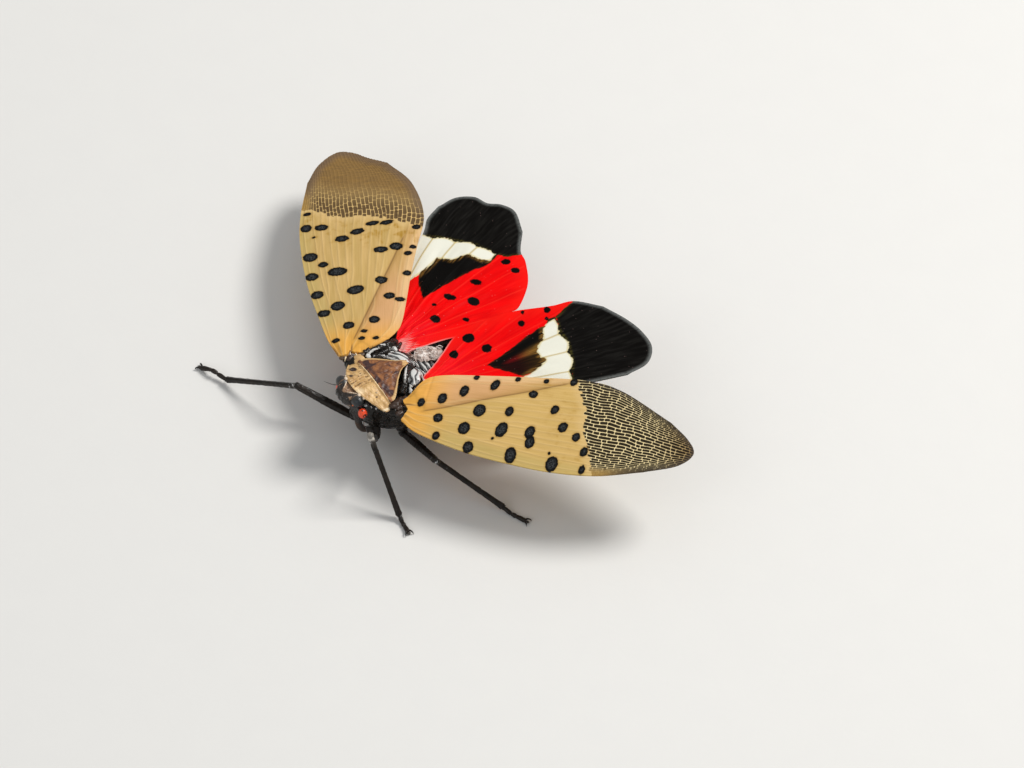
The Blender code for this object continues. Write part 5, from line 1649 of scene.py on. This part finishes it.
def legShapes(plan, seed):
    values = legValues
    coxa, hip, knee, ankle = (np.array(p, float) for p in plan["joints"])
    side = 1 if coxa[1] > 0 else -1
    # how pale the knee and the top of the shin are; on the near foreleg this paleness is mostly a painted
    # highlight
    paleAndHighlight = plan["paleAndHighlight"]
    socket = np.array((coxa[0] + 0.1, side * 1.0, 2.7))
    first = knotsFrom([socket, onLine(socket, hip, 0.5) + (0, side * 0.15, 0.05), hip], (0.62, 0.5, 0.34))
    thigh = rodKnots(hip, knee, values["femurSteps"], values["femur"])
    thighFields = {"wax": lambda s: 0.16 + 0.2 * between(0.8, 1, s),
                   "pale": lambda s: paleAndHighlight * between(0.93, 0.985, s)}
    shin = rodKnots(knee, ankle, values["tibiaSteps"], values["tibia"])
    shinFields = {"wax": lambda s: 0.2 + 0.25 * between(0.25, 0.0, s),
                  "pale": lambda s: paleAndHighlight * (between(0.07, 0.02, s) + 0.55 * between(0.4, 0.05, s))}
    shapes = [sweptRod(first, 28, 34, bumps=0.03, seed=seed, fields={"wax": 0.3}),
              pebble(hip, (0.34, 0.34, 0.34), 0.02, 0.3, seed, fields={"wax": 0.25, "pale": 0.15}),
              sweptRod(thigh, 32, 90, flutes=5, fluteDepth=0.07, bumps=0.01, seed=seed, fields=thighFields),
              pebble(knee, (0.27, 0.27, 0.27), 0.015, 0.2, seed + 1,
                     fields={"pale": paleAndHighlight * 0.8, "wax": 0.3}),
              sweptRod(shin, 32, 120, flutes=3, fluteDepth=0.1, bumps=0.008, seed=seed, fields=shinFields)]
    lean = (ankle - knee) / np.linalg.norm(ankle - knee)
    outward = np.cross(lean, (0, 0, 1.0)) * -side
    outward /= np.linalg.norm(outward)
    for k in range(plan["spines"]):
        root = onLine(knee, ankle, values["spinePlaces"][0] + values["spinePlaces"][1] * k)
        tip = root + outward * values["spine"][0] + lean * values["spine"][1]
        knots = rodKnots(root, tip, values["spineSteps"], 1.0)
        shapes.append(sweptRod(knots, 12, 24, fields={"dark": lambda s: between(0.4, 0.7, s)}))
    # a crown of short spines round the end of the shin
    over = np.cross(lean, outward)
    for k in range(7):
        turn = math.pi * (k / 6 - 0.5) * 1.3 + math.pi / 2
        way = math.cos(turn) * outward - math.sin(turn) * over * np.sign(over[2] + 1e-9)
        root = ankle - lean * 0.12 + way * 0.13
        tip = root + lean * 0.26 + way * 0.08
        shapes.append(sweptRod(knotsFrom([root, tip], (0.055, 0.012)), 8, 8, fields={"dark": 1.0}))
    return shapes + footShapes(ankle, plan, seed)


def footShapes(ankle, plan, seed):
    values = legValues
    low = values["footAxis"]
    toe = np.array((*plan["toe"], low))
    knots = []
    for share, swell in values["tarsusSteps"]:
        point = onLine(ankle, toe, share)
        sink = min(1.0, share / 0.34)
        raised = plan.get("arch", 0.0) * math.sin(math.pi * share) ** 1.5
        height = ankle[2] + (low - ankle[2]) * sink + raised
        knots.append((point[0], point[1], height, values["tarsus"] * swell))
    fields = {"pale": lambda s: 0.35 * (hump(s, 0.36, 0.015) + hump(s, 0.59, 0.015)), "wax": 0.15}
    shapes = [sweptRod(knots, 26, 110, bumps=0.008, seed=seed, fields=fields)]
    ahead = toe - ankle
    ahead[2] = 0
    ahead /= np.linalg.norm(ahead)
    across = np.cross(ahead, (0, 0, 1.0))
    for way in (-1, 1):
        start = toe - ahead * 0.12 + across * way * 0.07
        reach = ahead * (values["claw"][0] - 0.12) + across * way * values["claw"][1]
        knots = [(*(start + reach * share + (0, 0, rise)), radius) for share, rise, radius in (
            (0, 0, 0.1), (0.4, 0.12, 0.075), (0.85, 0.04, 0.045), (1, 0.02 - low, 0.012))]
        shapes.append(sweptRod(knots, 12, 30, fields={"dark": lambda s: between(0.3, 0.6, s)}))
    for one in shapes:
        one["points"][:, 2] = np.maximum(one["points"][:, 2], values["lowest"])
    pad = pebble(toe + ahead * 0.12 - (0, 0, 0.04), (0.16, 0.13, 0.09), 0.01, 0.2, seed, 18, 26,
                 {"pale": 0.35, "wax": 0.1})
    return shapes + [pad]


for number, (legName, plan) in enumerate(legPlans.items()):
    nodes = [legName + "_" + part for part in ("femur", "tibia", "tarsus")]
    makePiece(legName + "_whole", legShapes(plan, 100 + number), shells["legShell"], nodes)
print("legs built")


# Floor, light and camera
stageValues = {
    "floorSize": 4.0,
    "paper": (0.78, 0.77, 0.74),
    "paperShade": (0.76, 0.75, 0.725),
    "sky": (0.95, 0.97, 1.0),
    "skyStrength": 0.42,
    "azimuth": 59.0,
    "elevation": 47.7,
    "distance": 1094.0,
    "lens": 500.0,
    "sensor": 36.0,
    "nearest": 0.005,
    "aim": (-7.76, 5.60, 6.27),
    # way to each lamp as away from the camera, right and up; then distance, size, power and colour
    "lamps": {"key_light": ((0.35, 0.95, 1.3), 0.45, 0.18, 1.7, (1.0, 0.98, 0.95)),
              "fill_light": ((-0.9, -0.8, 0.9), 0.5, 0.4, 0.4, (0.95, 0.98, 1.0))},
}


def paperFinish():
    finish, tree, shader = newFinish("palePaper", 0.85)
    place = bodyPlace(tree)
    colour = tint(noise(place, 3.0, detail=5.0), stageValues["paperShade"], stageValues["paper"])
    dress(shader, colour, noise(place, 0.5, detail=4.0), 0.15, 0.05)
    return finish


def buildFloor():
    half = stageValues["floorSize"] / 2
    mesh = bpy.data.meshes.new("paper_floor")
    corners = [(-half, -half, 0), (half, -half, 0), (half, half, 0), (-half, half, 0)]
    mesh.from_pydata(corners, [], [(0, 1, 2, 3)])
    mesh.materials.append(paperFinish())
    floor = newObject("paper_floor", mesh)


def newAimed(name, content, place, back):
    # a lamp or camera that looks along the opposite of back
    holder = newObject(name, content)
    holder.location = place
    holder.rotation_mode = "QUATERNION"
    holder.rotation_quaternion = (-back).to_track_quat("-Z", "Y")
    return holder


def buildLight(aim, away, right):
    for name, (way, distance, size, power, colour) in stageValues["lamps"].items():
        lamp = bpy.data.lights.new(name, "AREA")
        lamp.shape = "DISK"
        lamp.size = size
        lamp.energy = power
        lamp.color = colour
        back = (away * way[0] + right * way[1] + Vector((0, 0, way[2]))).normalized()
        newAimed(name, lamp, aim + back * distance, back)
    world = bpy.data.worlds.new("soft_room")
    world.use_nodes = True
    sky = world.node_tree.nodes["Background"].inputs
    wire(stageValues["sky"], sky["Color"])
    wire(stageValues["skyStrength"], sky["Strength"])
    bpy.context.scene.world = world


def buildCamera(aim, back):
    lens = bpy.data.cameras.new("camera")
    lens.lens = stageValues["lens"]
    lens.sensor_width = stageValues["sensor"]
    lens.clip_start = stageValues["nearest"]
    bpy.context.scene.camera = newAimed("camera", lens, aim + back * stageValues["distance"] * mm, back)


def buildStage():
    azimuth, elevation = (math.radians(stageValues[key]) for key in ("azimuth", "elevation"))
    aim = Vector(toRow(stageValues["aim"]))
    away = Vector((-math.sin(azimuth), math.cos(azimuth), 0))
    right = Vector((math.cos(azimuth), math.sin(azimuth), 0))
    back = Vector((math.sin(azimuth) * math.cos(elevation), -math.cos(azimuth) * math.cos(elevation),
                   math.sin(elevation)))
    buildFloor()
    buildCamera(aim, back)
    buildLight(aim, away, right)
    bpy.context.scene.view_settings.view_transform = "Standard"


buildStage()
print("stage built")
